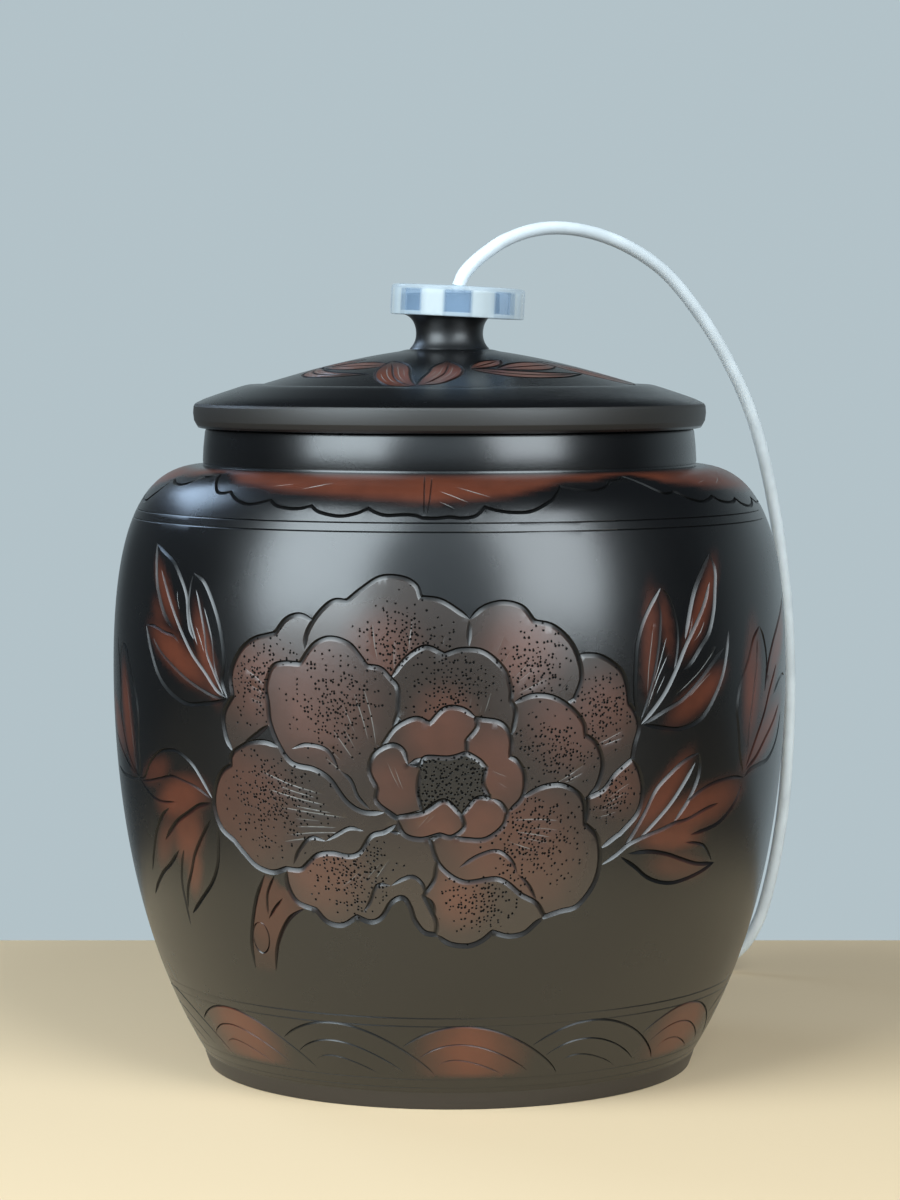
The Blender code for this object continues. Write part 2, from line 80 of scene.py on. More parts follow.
# %% [markdown]
# ## Curves
#
# A potter's profile has few corners: most of it is one long curve between two places. Blender can bend a
# curve object, but a few lines of numpy give the same cubic curve as plain points, which every piece can
# share and measure.

# %% Curves through a few points
MM = 0.001


def bezier(start, out, back, end, steps):
    """Points along a cubic curve, both ends kept."""
    t = np.linspace(0, 1, steps + 1)[:, None]
    a, b, c, d = (np.array(p, float) for p in (start, out, back, end))
    return (1 - t) ** 3 * a + 3 * t * (1 - t) ** 2 * b + 3 * t * t * (1 - t) * c + t**3 * d


def join(*runs):
    """Runs of points as one line, without the points that two runs share."""
    line = [np.array(runs[0], float)]
    for run in runs[1:]:
        run = np.array(run, float)
        if np.allclose(run[0], line[-1][-1]):
            run = run[1:]
        line.append(run)
    return np.concatenate(line)


def distances(line):
    """How far each point of a line is from its start, along the line."""
    return np.concatenate([[0], np.cumsum(np.hypot.reduce(np.diff(line, axis=0), axis=1))])


def softened(share):
    """A smooth step from nought to one."""
    return share * share * (3 - 2 * share)


# %% [markdown]
# ## The turned wall
#
# On the wheel the wall grows out of the foot, bulges at the belly and closes to the collar. It could be a
# lathed object with a picture of the carving, but only real grooves catch the light from every side. So two
# smooth curves give the wall, and a flat sheet is laid along them. A point on the sheet has u, the way round
# at the belly's radius, and s, the way up along the wall. The sheet's ends meet at the left side, where no
# spray lies.

# %% The wall's profile, as radius and height in millimetres
FOOT = (110.8, 7.6)
BELLY = (150.0, 177.0)
COLLAR = (110.0, 267.9)
LOWER = bezier(FOOT, (143.0, 60.8), (150.0, 129.0), BELLY, 240)
UPPER = bezier(BELLY, (150.0, 243.0), (136.4, 267.9), COLLAR, 240)
PROFILE = join(LOWER, UPPER)
ALONG = distances(PROFILE)
WALL_S = ALONG[-1]
SLOPE = np.gradient(PROFILE, ALONG, axis=0)
ROUND_U = 2 * math.pi * BELLY[0]
LOW_U = -0.25 * ROUND_U
HIGH_U = LOW_U + ROUND_U
print("the wall's sheet is", round(ROUND_U), "mm round and", round(WALL_S), "mm up")


# %% From the sheet to the wall
def wall_place(u, s, depth):
    """The place on the jar's wall, sunk by the depth along the wall's own normal."""
    r = np.interp(s, ALONG, PROFILE[:, 0])
    z = np.interp(s, ALONG, PROFILE[:, 1])
    out = np.interp(s, ALONG, SLOPE[:, 1])
    up = -np.interp(s, ALONG, SLOPE[:, 0])
    size = np.hypot(out, up)
    r = r - depth * out / size
    z = z - depth * up / size
    turn = u / BELLY[0]
    return np.stack([r * np.sin(turn), -r * np.cos(turn), z], 1) * MM


# %% [markdown]
# The lid's dome is so flat that its plan, seen from straight above, can serve as its sheet. A groove is
# sunk straight down there, which is close enough to the dome's own direction.

# %% The dome's profile, and from its plan to the dome
NOTCH = (85.5, 302.9)
DOME_EDGE = (23.5, 317.9)
DOME = bezier(NOTCH, (64.0, 309.4), (45.0, 314.7), DOME_EDGE, 120)


def dome_place(x, y, depth):
    """The place on the lid's dome above a point of its plan."""
    r = np.hypot(x, y)
    z = np.interp(-r, -DOME[:, 0], DOME[:, 1])
    return np.stack([x, y, z - depth], 1) * MM


# %% [markdown]
# ## Strokes
#
# A stroke is one pull of the carving tool: a line, a width and a depth. The tool rises out of the clay at a
# free end, so the stroke thins there. Only a few points are written down for each line. A smooth curve
# through them gives the many even points that the sheet needs, and is quicker to correct.

# %% One stroke
FREE_END = 4.0


def stroke(points, width, depth, thin):
    """A line with its width and depth, and how far from its ends it thins."""
    return {"line": np.array(points, float), "width": width, "depth": depth, "thin": thin}


def spaced(line, step):
    """The line's points at an even spacing."""
    line = np.array(line, float)
    along = distances(line)
    at = np.linspace(0, along[-1], max(2, round(along[-1] / step)) + 1)
    return np.stack([np.interp(at, along, column) for column in line.T], 1)


def smooth(points, step=1.5, fine=12):
    """An evenly spaced smooth line through a few points, flat or in space."""
    p = np.array(points, float)
    p = np.concatenate([[2 * p[0] - p[1]], p, [2 * p[-1] - p[-2]]])
    t = np.linspace(0, 1, fine, endpoint=False)[:, None]
    runs = []
    for a, b, c, d in zip(p, p[1:], p[2:], p[3:]):
        runs.append(b + 0.5 * t * (c - a + t * (2 * a - 5 * b + 4 * c - d + t * (3 * b - a - 3 * c + d))))
    return spaced(np.concatenate([*runs, p[-2:-1]]), step)


# %% [markdown]
# Petals lie over one another. A carver starts with the front one, and ends each cut where a petal already
# lies. The shapes are laid in the same order here, and each hides what is drawn after it.

# %% What lies in front
LEAST_RUN = 3


def within(shape, points):
    """Which points lie inside a closed outline."""
    x, y = points[:, 0], points[:, 1]
    inside = np.zeros(len(points), bool)
    for a, b in zip(shape, np.roll(shape, -1, axis=0)):
        crosses = (a[1] > y) != (b[1] > y)
        rise = b[1] - a[1] if b[1] != a[1] else 1e-9
        inside ^= crosses & (x < (b[0] - a[0]) * (y - a[1]) / rise + a[0])
    return inside


def clear_runs(line, hidden):
    """The stretches of a line that no shape hides."""
    runs = [[]]
    for point, gone in zip(line, hidden):
        if gone:
            runs.append([])
        else:
            runs[-1].append(point)
    return [np.array(run) for run in runs if len(run) >= LEAST_RUN]


# %% A panel holds the drawing of one surface
class Panel:
    """Carving on one surface: strokes, and the areas that are rubbed with red or stippled."""

    def __init__(self):
        self.strokes = []
        self.covers = []
        self.patches = []
        self.glows = []

    def hidden(self, line):
        """Which points of a line lie behind a shape."""
        gone = np.zeros(len(line), bool)
        for cover in self.covers:
            low = cover.min(0) - 1
            high = cover.max(0) + 1
            near = ((line > low) & (line < high)).all(1)
            if near.any():
                gone[near] |= within(cover, line[near])
        return gone

    def draw(self, line, width, depth, thin=FREE_END, inside=None):
        """One line of carving, without the parts that a shape hides or that lie outside an outline."""
        gone = self.hidden(line)
        if inside is not None:
            gone |= ~within(inside, line)
        for run in clear_runs(line, gone):
            self.strokes.append(stroke(run, width, depth, thin))

    def shape(self, outline, rub, middle, reach, base, dots=None, pale=0.0):
        """A closed shape that hides what is drawn after it, rubbed most round its middle."""
        one = {"outline": outline, "rub": rub, "middle": np.array(middle, float)}
        self.patches.append({**one, "reach": reach, "base": base, "dots": dots, "pale": pale})
        self.covers.append(outline)

    def glow(self, strength, centre, length, width, angle):
        """A soft oval of red with no outline, turned clockwise from upright."""
        self.glows.append((strength, np.array(centre, float), 0.5 * length, 0.5 * width, math.radians(angle)))


# %% Outlines, and rays inside them
RAY_CUT = (0.65, 0.11, 8.0)


def placed(points, centre, angle):
    """Points drawn round (0, 0) with +y ahead, turned clockwise and moved to the centre."""
    a = math.radians(angle)
    p = np.array(points, float)
    x, y = p[:, 0], p[:, 1]
    return np.stack([x * math.cos(a) + y * math.sin(a), y * math.cos(a) - x * math.sin(a)], 1) + centre


def lobed(start, *lobes):
    """A closed outline of smooth lobes. Each lobe runs from the last one's end through its own points."""
    runs = []
    for lobe in lobes:
        runs.append(smooth([start, *lobe], 1.2)[:-1])
        start = lobe[-1]
    return np.concatenate([*runs, [start]])


def ellipse(centre, width, height, angle):
    """A closed oval, turned clockwise from upright."""
    t = np.linspace(0, 2 * math.pi, 60)
    return placed(np.stack([0.5 * width * np.sin(t), 0.5 * height * np.cos(t)], 1), centre, angle)


def fan(panel, outline, root, first, last, count, seed):
    """Fine scratched rays inside an outline, which spread from a root to a line between two ends."""
    chance = random.Random(seed)
    root = np.array(root, float)
    for k in range(count):
        share = (k + 0.2 + 0.6 * chance.random()) / count
        end = np.array(first, float) * (1 - share) + np.array(last, float) * share
        near = root + (end - root) * (0.45 + 0.25 * chance.random())
        far = root + (end - root) * (1.0 - 0.2 * chance.random())
        side = np.array([near[1] - far[1], far[0] - near[0]]) * 0.06 * (0.5 - share)
        panel.draw(smooth([near, 0.5 * (near + far) + side, far], 2.2), *RAY_CUT, outline)


# %% [markdown]
# ## The peony
#
# A ring of small petals stands round the stippled stamens, with large scalloped petals behind them. The
# flower could be a painted picture, but here each petal is an outline of smooth lobes, so that the same few
# points give its groove, its rubbed red and its dots. The flower stands a little left of the jar's front.
#
# Each petal is a start point and its lobes, front petals first. Its rub is how red it is, and where and how
# far. Its dots are where the stipple lies and how far it spreads. Its fans are the fine rays near its root.

# %% The stamens and the ring of small petals
HEART = lobed(
    (-12, 149),
    [(-10, 153), (0, 153), (7, 155)],
    [(12, 152), (15, 149)],
    [(14, 142), (17, 136)],
    [(11, 136), (5, 129)],
    [(-1, 135), (-6, 134), (-11, 130)],
    [(-13, 139), (-12, 149)],
)
SMALL_PETALS = [
    {
        "lobes": [(-17, 150), [(-19, 156), (-24, 158), (-31, 154), (-33, 147), (-30, 140)],
                  [(-30, 134), (-22, 128)], [(-14, 130), (-10, 135), (-12, 149)], [(-17, 150)]],
        "rub": (0.8, (-24, 142), 22),
        "fans": [((-14, 126), (-27, 152), (-18, 150), 4)],
    },
    {
        "lobes": [(-22, 128), [(-19, 121), (-12, 119), (-4, 121)], [(1, 120), (6, 124), (5, 129)],
                  [(-2, 135), (-11, 130), (-22, 128)]],
        "rub": (1.0, (-6, 126), 20),
        "fans": [((-20, 116), (-12, 131), (-3, 130), 3)],
    },
    {
        "lobes": [(5, 129), [(6, 124), (1, 120)], [(7, 119), (15, 119), (22, 124), (24, 130)],
                  [(21, 134), (17, 136)], [(11, 136), (5, 129)]],
        "rub": (1.0, (14, 126), 22),
    },
    {
        "lobes": [(24, 130), [(30, 136), (31, 145), (28, 151), (25, 153)],
                  [(25, 161), (21, 167), (11, 169)], [(11, 165), (7, 160)], [(7, 155)],
                  [(12, 152), (15, 149)], [(14, 142), (17, 136)], [(20, 134), (24, 130)]],
        "rub": (0.95, (19, 150), 30),
        "fans": [((6, 152), (28, 136), (27, 147), 4)],
    },
    {
        "lobes": [(11, 169), [(5, 173), (-2, 173), (-8, 167)], [(-14, 169), (-22, 165), (-28, 157)],
                  [(-22, 158), (-17, 150)], [(-10, 153), (0, 153), (7, 155)], [(7, 160)],
                  [(11, 165), (11, 169)]],
        "rub": (1.0, (-4, 163), 26),
        "fans": [((-21, 148), (-19, 166), (-16, 166), 2)],
    },
]

# %% The large petals round them
LARGE_PETALS = [
    {
        "lobes": [(-27, 130),
                  [(-36, 130), (-43, 134), (-50, 143), (-57, 147), (-67, 149), (-73, 156), (-77, 165),
                   (-78, 173)], [(-79, 180), (-76, 188), (-71, 190), (-63, 190)],
                  [(-57, 198), (-50, 201), (-42, 199), (-37, 194), (-34, 190)], [(-28, 189), (-24, 185)],
                  [(-21, 181), (-21, 171)], [(-24, 160), (-27, 130)]],
        "rub": (0.85, (-58, 176), 44),
        "dots": ((-47, 174), 26),
        "fans": [((-24, 130), (-66, 150), (-35, 188), 8)],
    },
    {
        "lobes": [(-24, 185), [(-18, 193), (-10, 198), (-2, 195)],
                  [(5, 197), (14, 196), (22, 189), (25, 181), (25, 176)], [(27, 171), (25, 160)],
                  [(0, 150), (-21, 170), (-24, 185)]],
        "rub": (0.8, (-2, 170), 20),
        "dots": ((0, 182), 22),
        "fans": [((0, 130), (10, 192), (21, 180), 3)],
    },
    {
        "lobes": [(30, 136), [(38, 140), (46, 141), (53, 138), (57, 133), (58, 124)],
                  [(64, 118), (66, 108), (64, 98), (57, 89), (49, 87), (42, 85)],
                  [(38, 91), (31, 95), (21, 102), (6, 101), (-4, 108), (-8, 119)],
                  [(10, 125), (30, 136)]],
        "rub": (0.95, (26, 114), 46),
        "dots": ((36, 118), 26),
        "fans": [((-4, 128), (57, 128), (42, 104), 6)],
    },
    {
        "lobes": [(26, 175), [(34, 178), (43, 177), (51, 172), (56, 166), (57, 161)],
                  [(62, 157), (65, 149), (63, 140), (59, 135)], [(40, 130), (20, 145), (26, 175)]],
        "rub": (0.85, (50, 166), 30),
        "dots": ((44, 156), 20),
        "fans": [((20, 128), (60, 144), (60, 152), 3)],
    },
    {
        "lobes": [(-21, 126),
                  [(-27, 122), (-33, 120), (-38, 113), (-43, 111), (-50, 112), (-57, 111), (-62, 107),
                   (-66, 104), (-73, 104)], [(-80, 102), (-88, 104), (-94, 109), (-99, 114)],
                  [(-106, 119), (-109, 128), (-107, 137), (-103, 143), (-98, 146)],
                  [(-98, 149), (-96, 152)], [(-88, 156), (-80, 157), (-72, 155)],
                  [(-50, 150), (-21, 126)]],
        "rub": (0.8, (-95, 131), 44),
        "dots": ((-76, 134), 28),
        "fans": [((-10, 124), (-88, 148), (-74, 112), 9)],
    },
    {
        "lobes": [(-25, 122), [(-50, 118), (-72, 106)], [(-73, 98), (-69, 90), (-60, 87)],
                  [(-55, 82), (-48, 81), (-41, 85)],
                  [(-35, 83), (-30, 85), (-25, 92), (-20, 94), (-17, 90), (-15, 84), (-11, 79), (-6, 78)],
                  [(-6, 84), (-11, 95)], [(-6, 104), (-8, 119), (-25, 122)]],
        "rub": (0.95, (-56, 104), 30),
        "dots": ((-42, 104), 24),
        "fans": [((-14, 126), (-50, 97), (-36, 92), 4)],
    },
    {
        "lobes": [(-8, 119), [(-11, 95)], [(-7, 90), (-6, 78)], [(0, 74), (8, 73), (14, 75), (19, 79)],
                  [(26, 77), (33, 78), (38, 82)], [(42, 85)], [(30, 108), (-8, 119)]],
        "rub": (1.0, (4, 95), 22),
        "dots": ((12, 94), 20),
    },
]

# %% The petals behind those
BACK_PETALS = [
    {
        "lobes": [(8, 209), [(14, 214), (22, 216), (30, 214), (35, 208)],
                  [(43, 206), (50, 200), (54, 192), (55, 184), (52, 176)],
                  [(30, 170), (10, 190), (8, 209)]],
        "rub": (1.0, (30, 196), 28),
        "dots": ((36, 190), 20),
        "fans": [((10, 170), (20, 208), (50, 184), 5)],
    },
    {
        "lobes": [(-61, 196), [(-60, 203), (-55, 211), (-49, 216), (-43, 216)],
                  [(-37, 221), (-29, 226), (-20, 226), (-14, 223), (-12, 218)],
                  [(-4, 217), (3, 213), (10, 207), (12, 197)], [(-20, 180), (-61, 196)]],
        "rub": (0.95, (-28, 196), 26),
        "dots": ((-18, 198), 24),
        "fans": [((-22, 150), (-34, 212), (4, 208), 5)],
    },
    {
        "lobes": [(59, 135), [(66, 138), (71, 144), (79, 150)],
                  [(80, 156), (82, 163), (80, 169), (77, 173)],
                  [(76, 180), (73, 187), (64, 193), (55, 194)], [(50, 176), (59, 135)]],
        "rub": (0.9, (63, 170), 26),
        "dots": ((65, 172), 20),
        "fans": [((44, 150), (74, 155), (76, 165), 3)],
    },
    {
        "lobes": [(79, 150), [(83, 144), (85, 136), (83, 127), (75, 119)], [(60, 112), (59, 135)],
                  [(66, 138), (71, 144), (79, 150)]],
        "rub": (0.9, (72, 141), 22),
        "dots": ((70, 137), 17),
        "fans": [((52, 124), (80, 142), (76, 128), 4)],
    },
    {
        "lobes": [(-96, 151), [(-100, 158), (-101, 167), (-96, 175)],
                  [(-97, 184), (-93, 193), (-86, 199), (-75, 202)], [(-70, 208), (-64, 210), (-58, 208)],
                  [(-60, 180), (-96, 151)]],
        "rub": (1.0, (-84, 182), 30),
        "dots": ((-82, 184), 24),
        "fans": [((-56, 166), (-92, 172), (-90, 190), 3)],
    },
]
PETALS = SMALL_PETALS + LARGE_PETALS + BACK_PETALS
print("petals:", len(PETALS))

# %% [markdown]
# The large petals are folded inwards along their edges. A fold is a line inside the petal, so it is drawn
# last, and only the stamens and the small petals hide it.

# %% The folds
FOLDS = [
    [(-67, 155), (-60, 157), (-51, 155), (-46, 147)],
    [(-46, 147), (-41, 143), (-38, 136), (-33, 131)],
    [(-69, 106), (-66, 112), (-60, 118), (-53, 117)],
    [(-53, 117), (-48, 120), (-42, 123), (-36, 122)],
    [(4, 107), (12, 112), (20, 114), (26, 110), (29, 104)],
    [(29, 104), (34, 99), (38, 92)],
    [(-38, 87), (-35, 91), (-31, 99), (-25, 99)],
    [(-25, 99), (-20, 102), (-15, 103), (-11, 99), (-11, 94)],
]

# %% [markdown]
# ## The leaf sprays
#
# The leaves are cut with single pulls that swell and thin, and few of them close. So they aren't outlines
# but lists of strokes, each a width and its points. The red is a soft oval under each leaf, as if a finger
# had rubbed it in.

# %% The leaves on the left: the width of each cut, and its points
LEFT_LEAVES = [
    # The three leaves above the left petals.
    (2.2, [(-157, 236), (-154, 229), (-150, 219), (-145, 211), (-140, 205), (-134, 201)]),
    (1.7, [(-157, 236), (-149, 233), (-139, 229), (-131, 222), (-126, 215), (-124, 207), (-122, 201),
           (-119, 197)]),
    (1.5, [(-148, 225), (-142, 218), (-135, 209), (-127, 199), (-120, 191), (-112, 184), (-105, 177),
           (-99, 174)]),
    (1.0, [(-123, 225), (-124, 219), (-124, 212), (-122, 205), (-117, 195)]),
    (1.8, [(-123, 225), (-116, 222), (-110, 215), (-105, 206), (-102, 196), (-101, 187), (-102, 181),
           (-99, 174)]),
    (1.2, [(-120, 218), (-117, 212), (-113, 201), (-111, 192), (-107, 185), (-101, 175)]),
    (0.8, [(-114, 211), (-111, 205), (-108, 197), (-106, 186), (-101, 175)]),
    (0.5, [(-119, 204), (-116, 199), (-112, 191)]),
    (0.5, [(-133, 217), (-132, 213), (-130, 209)]),
    (1.5, [(-157, 201), (-150, 201), (-141, 199), (-134, 198), (-129, 195)]),
    (1.9, [(-157, 201), (-154, 195), (-150, 188), (-145, 181), (-139, 176), (-131, 172), (-122, 170),
           (-112, 171), (-105, 172), (-99, 174)]),
    (1.4, [(-150, 196), (-144, 191), (-135, 186), (-125, 181), (-115, 177), (-105, 174), (-99, 174)]),
    # The far left leaves.
    (2.0, [(-187, 191), (-180, 189), (-175, 182), (-170, 175), (-166, 167), (-165, 159), (-166, 150),
           (-166, 141), (-168, 134)]),
    (1.2, [(-187, 191), (-190, 186), (-190, 178), (-188, 170)]),
    (1.4, [(-183, 183), (-178, 171), (-175, 159), (-173, 149), (-171, 139), (-168, 134)]),
    (1.6, [(-198, 193), (-193, 183), (-190, 170), (-191, 160), (-184, 147), (-176, 139), (-168, 134)]),
    (1.4, [(-205, 150), (-197, 146), (-189, 142), (-180, 138), (-172, 135)]),
    (1.6, [(-206, 135), (-193, 133), (-184, 133), (-176, 133), (-168, 134)]),
    # The leaves below them.
    (1.5, [(-168, 134), (-162, 135), (-155, 142), (-147, 147), (-140, 149), (-131, 149), (-122, 145),
           (-116, 139), (-110, 131)]),
    (1.3, [(-166, 133), (-157, 134), (-147, 136), (-137, 138), (-129, 137), (-120, 135), (-111, 131)]),
    (1.3, [(-168, 134), (-161, 130), (-154, 127), (-146, 126), (-135, 127)]),
    (2.3, [(-111, 129), (-119, 127), (-127, 123), (-135, 119), (-142, 114), (-148, 109)]),
    (1.9, [(-141, 124), (-149, 119), (-156, 111), (-162, 102), (-168, 93)]),
    (2.0, [(-171, 82), (-165, 87), (-155, 94), (-146, 99), (-137, 106)]),
    (1.8, [(-133, 107), (-136, 101), (-139, 91), (-139, 81), (-139, 72)]),
    (1.9, [(-112, 122), (-117, 116), (-125, 106), (-130, 97), (-135, 89), (-138, 80)]),
    (1.9, [(-108, 119), (-109, 110), (-111, 102), (-116, 94), (-125, 86), (-135, 78)]),
]

# %% The leaves on the right
RIGHT_LEAVES = [
    # The three leaves above the right petals.
    (2.0, [(95, 220), (89, 213), (84, 205), (81, 196), (80, 185), (80, 175), (82, 164)]),
    (1.1, [(95, 220), (99, 216), (102, 208), (103, 200), (102, 192), (100, 184)]),
    (1.3, [(93, 216), (94, 209), (93, 200), (91, 190), (88, 179), (83, 166)]),
    (0.5, [(90, 206), (89, 200), (87, 188), (86, 175)]),
    (0.5, [(97, 201), (93, 190), (89, 180)]),
    (0.5, [(98, 194), (91, 182), (85, 168)]),
    (0.5, [(96, 185), (93, 180), (90, 175)]),
    (2.6, [(128, 233), (121, 226), (115, 219), (111, 211), (108, 202), (107, 198)]),
    (2.1, [(128, 233), (130, 226), (128, 217), (126, 209), (122, 200), (116, 194), (110, 188),
           (105, 185)]),
    (2.1, [(125, 221), (120, 212), (114, 204), (107, 195), (101, 185), (94, 175), (83, 164)]),
    (0.5, [(120, 206), (116, 200), (111, 196)]),
    (0.5, [(112, 207), (111, 203), (109, 199)]),
    (1.9, [(136, 200), (134, 191), (131, 182), (126, 174), (120, 167), (114, 163), (104, 161), (95, 162),
           (84, 164)]),
    (1.9, [(132, 193), (125, 188), (115, 180), (105, 173), (95, 169), (84, 164)]),
    (0.5, [(127, 194), (115, 184), (101, 175)]),
    (0.5, [(124, 184), (116, 179), (108, 173)]),
    # The far right leaves.
    (1.9, [(164, 200), (157, 195), (152, 187), (145, 177), (142, 167), (144, 157), (146, 147),
           (150, 138)]),
    (1.9, [(164, 200), (168, 195), (171, 187), (171, 180), (169, 171)]),
    (1.7, [(161, 195), (160, 186), (157, 172), (154, 160), (152, 144)]),
    (2.2, [(209, 209), (200, 204), (191, 199), (181, 192), (174, 184), (170, 175)]),
    (1.9, [(186, 182), (176, 172), (169, 162), (160, 151), (152, 140)]),
    (1.7, [(206, 175), (199, 176), (190, 174), (181, 169)]),
    (1.9, [(192, 164), (182, 157), (172, 151), (162, 144), (152, 139)]),
    (2.1, [(151, 136), (157, 139), (166, 140), (176, 141), (185, 145), (192, 151), (197, 160)]),
    # The leaves below them.
    (1.9, [(67, 106), (74, 110), (80, 114), (89, 117), (97, 119), (104, 121), (112, 122), (122, 125),
           (132, 127)]),
    (2.0, [(116, 150), (107, 147), (99, 142), (92, 136), (87, 127), (82, 119), (77, 112)]),
    (2.0, [(116, 150), (117, 145), (116, 139), (111, 130), (103, 121)]),
    (1.8, [(114, 146), (107, 137), (100, 129), (91, 121), (85, 116)]),
    (1.8, [(110, 129), (117, 133), (127, 136), (140, 137), (151, 136)]),
    (1.8, [(150, 134), (146, 127), (140, 122), (132, 118), (122, 116), (114, 115)]),
    (1.4, [(111, 112), (119, 111), (125, 109), (130, 104), (132, 101)]),
    (1.9, [(80, 110), (91, 110), (101, 108), (110, 105), (120, 102), (129, 101), (134, 101)]),
    (1.8, [(76, 109), (84, 104), (91, 99), (99, 96), (107, 95), (116, 96), (125, 98), (134, 101)]),
]

# %% The red that is rubbed into the leaves
LEAF_GLOWS = [
    # How strong it is, its centre, its length and width, and its turn from upright.
    (0.75, (-142, 215), 38, 10, -40),
    (0.40, (-146, 206), 20, 10, -40),
    (0.85, (-112, 192), 44, 10, -20),
    (1.00, (-131, 190), 50, 15, -62),
    (0.80, (-180, 160), 48, 14, -12),
    (0.70, (-199, 155), 34, 16, -50),
    (1.00, (-132, 129), 40, 20, 75),
    (0.95, (-129, 114), 30, 22, 30),
    (0.55, (-150, 139), 28, 12, 70),
    (0.70, (-127, 98), 26, 11, 20),
    (0.55, (-148, 108), 32, 14, 40),
    (0.75, (88, 199), 46, 9, 4),
    (0.55, (97, 204), 30, 7, -8),
    (0.90, (119, 211), 48, 11, 32),
    (0.85, (115, 174), 42, 13, 60),
    (0.90, (156, 177), 54, 18, 4),
    (0.90, (190, 190), 44, 15, 52),
    (0.60, (176, 172), 34, 12, 48),
    (0.85, (172, 153), 56, 17, 60),
    (0.90, (96, 134), 46, 13, 42),
    (0.95, (120, 126), 64, 19, 78),
    (0.90, (103, 115), 42, 13, 95),
    (0.45, (109, 102), 40, 13, 100),
]
print("leaf strokes:", len(LEFT_LEAVES + RIGHT_LEAVES))

# %% [markdown]
# The spray is drawn round a middle line by a function, so that the back of the jar can carry it too,
# mirrored. The `at` and `moved` that are handed on put a point or an outline in its place.

# %% Drawing the flower
HEART_CUT = (2.2, 0.7)
PETAL_CUT = (2.4, 0.7)
FOLD_CUT = (1.9, 0.55, 5.0)
STAMENS = (2, 144)
# How pale the stamens and petals are made, as dust and a painted sheen.
DUST_AND_SHEEN = 0.42
FIRST_SEED = 30


def draw_flower(panel, at, moved):
    heart = moved(HEART)
    panel.draw(heart, *HEART_CUT)
    panel.shape(heart, 0.0, at(STAMENS), 18.0, 0.35, (at(STAMENS), 300.0), DUST_AND_SHEEN)
    first = len(panel.covers)
    for k, one in enumerate(PETALS):
        outline = moved(lobed(*one["lobes"]))
        panel.draw(outline, *PETAL_CUT)
        for root, left, right, count in one.get("fans", []):
            fan(panel, outline, at(root), at(left), at(right), count, FIRST_SEED + k)
        rub, glow, reach = one["rub"]
        dots = (at(one["dots"][0]), one["dots"][1]) if "dots" in one else None
        panel.shape(outline, 0.96 * rub, at(glow), 0.78 * reach, 0.13, dots, DUST_AND_SHEEN)
    covers = panel.covers
    panel.covers = covers[:first + len(SMALL_PETALS)]
    for fold in FOLDS:
        panel.draw(smooth([at(p) for p in fold]), *FOLD_CUT)
    panel.covers = covers


# %% Drawing the leaves
DEEPEST_LEAF = 0.65


def draw_leaves(panel, at, flip):
    for width, points in LEFT_LEAVES + RIGHT_LEAVES:
        thin = 6.0 if width > 0.6 else 9.0
        panel.draw(smooth([at(p) for p in points]), width, min(0.36 * width, DEEPEST_LEAF), thin)
    for strength, centre, length, width, angle in LEAF_GLOWS:
        panel.glow(strength, at(centre), length, width, flip * angle)


# %% Drawing the cut stem, with its twig and knot
STEM_SIDES = (((-84, 101), (-91, 88), (-97, 70), (-98, 57)), ((-64, 88), (-74, 82), (-82, 70), (-86, 57)))
TWIG_SIDES = (((-79, 101), (-84, 92), (-85, 83)), ((-76, 91), (-81, 86), (-85, 81)))
STEM_CUT = (2.0, 0.7, 9.0)
TWIG_CUT = (1.4, 0.6)
KNOT_CUT = (0.8, 0.4)


def draw_stem(panel, at, flip):
    left, right = (smooth([at(p) for p in side], 1.6) for side in STEM_SIDES)
    panel.draw(left, *STEM_CUT)
    panel.draw(right, *STEM_CUT)
    for side in TWIG_SIDES:
        panel.draw(smooth([at(p) for p in side], 1.4), *TWIG_CUT)
    panel.draw(ellipse(at((-91, 72)), 9, 14, flip * 8), *KNOT_CUT)
    panel.shape(np.concatenate([left, right[::-1]]), 0.55, at((-84, 84)), 24.0, 0.25)


# %% The whole spray
def peony_spray(panel, middle, flip=1):
    """The whole spray, drawn round a middle line. A flip of -1 mirrors it."""

    def at(p):
        return (middle + flip * p[0], p[1])

    def moved(outline):
        return outline * (flip, 1) + (middle, 0)

    draw_flower(panel, at, moved)
    draw_leaves(panel, at, flip)
    draw_stem(panel, at, flip)


# %% [markdown]
# ## The lappets
#
# Four scalloped cloths seem to hang from the collar over the shoulder, each with a stem down its middle. The
# red is rubbed in a band along each, and fades out above the cut edge. One lappet is drawn by points, and a
# loop puts the same one at every quarter turn, so that they match.

# %% One lappet: its edge, its stem, its scratches and where its red ends
LAPPETS = 4
LAPPET_MIDDLE = -17.0
LAPPET_EDGE = lobed(
    (-123, 275),
    [(-116, 268), (-108, 262), (-102, 261.5), (-99, 262.5)],
    [(-92, 258.5), (-84, 256.3), (-77, 257), (-71, 258.7)],
    [(-66, 256), (-58, 254.8), (-52, 255.2), (-48, 256.5)],
    [(-43, 253.5), (-33, 251.8), (-25, 253.2), (-20, 255.7)],
    [(-16, 253.6), (-11, 252.4), (-3, 252.8), (2, 252.4), (5, 251.4)],
    [(11, 251.2), (17, 251.8), (23, 251.3), (29, 252.5), (33, 256.5)],
    [(39, 254.6), (47, 253.7), (55, 254.5), (65, 259.5)],
    [(69, 263.5), (72, 267.5)],
    [(79, 265.3), (88, 264.6), (96, 266.5), (102, 271.2)],
    [(108, 272), (112.6, 275)],
)
LAPPET_STEM = ([(4, 279), (5, 265), (5.7, 252.5)], [(8, 276), (8, 262), (7, 252.8)])
LAPPET_SCRATCHES = (
    [(12, 265), (26, 258.5)],
    [(12, 259.3), (20, 255.3)],
    [(20, 267.5), (37, 261)],
    [(-57, 265), (-41, 270)],
    [(-74, 266.5), (-63, 268.5)],
)
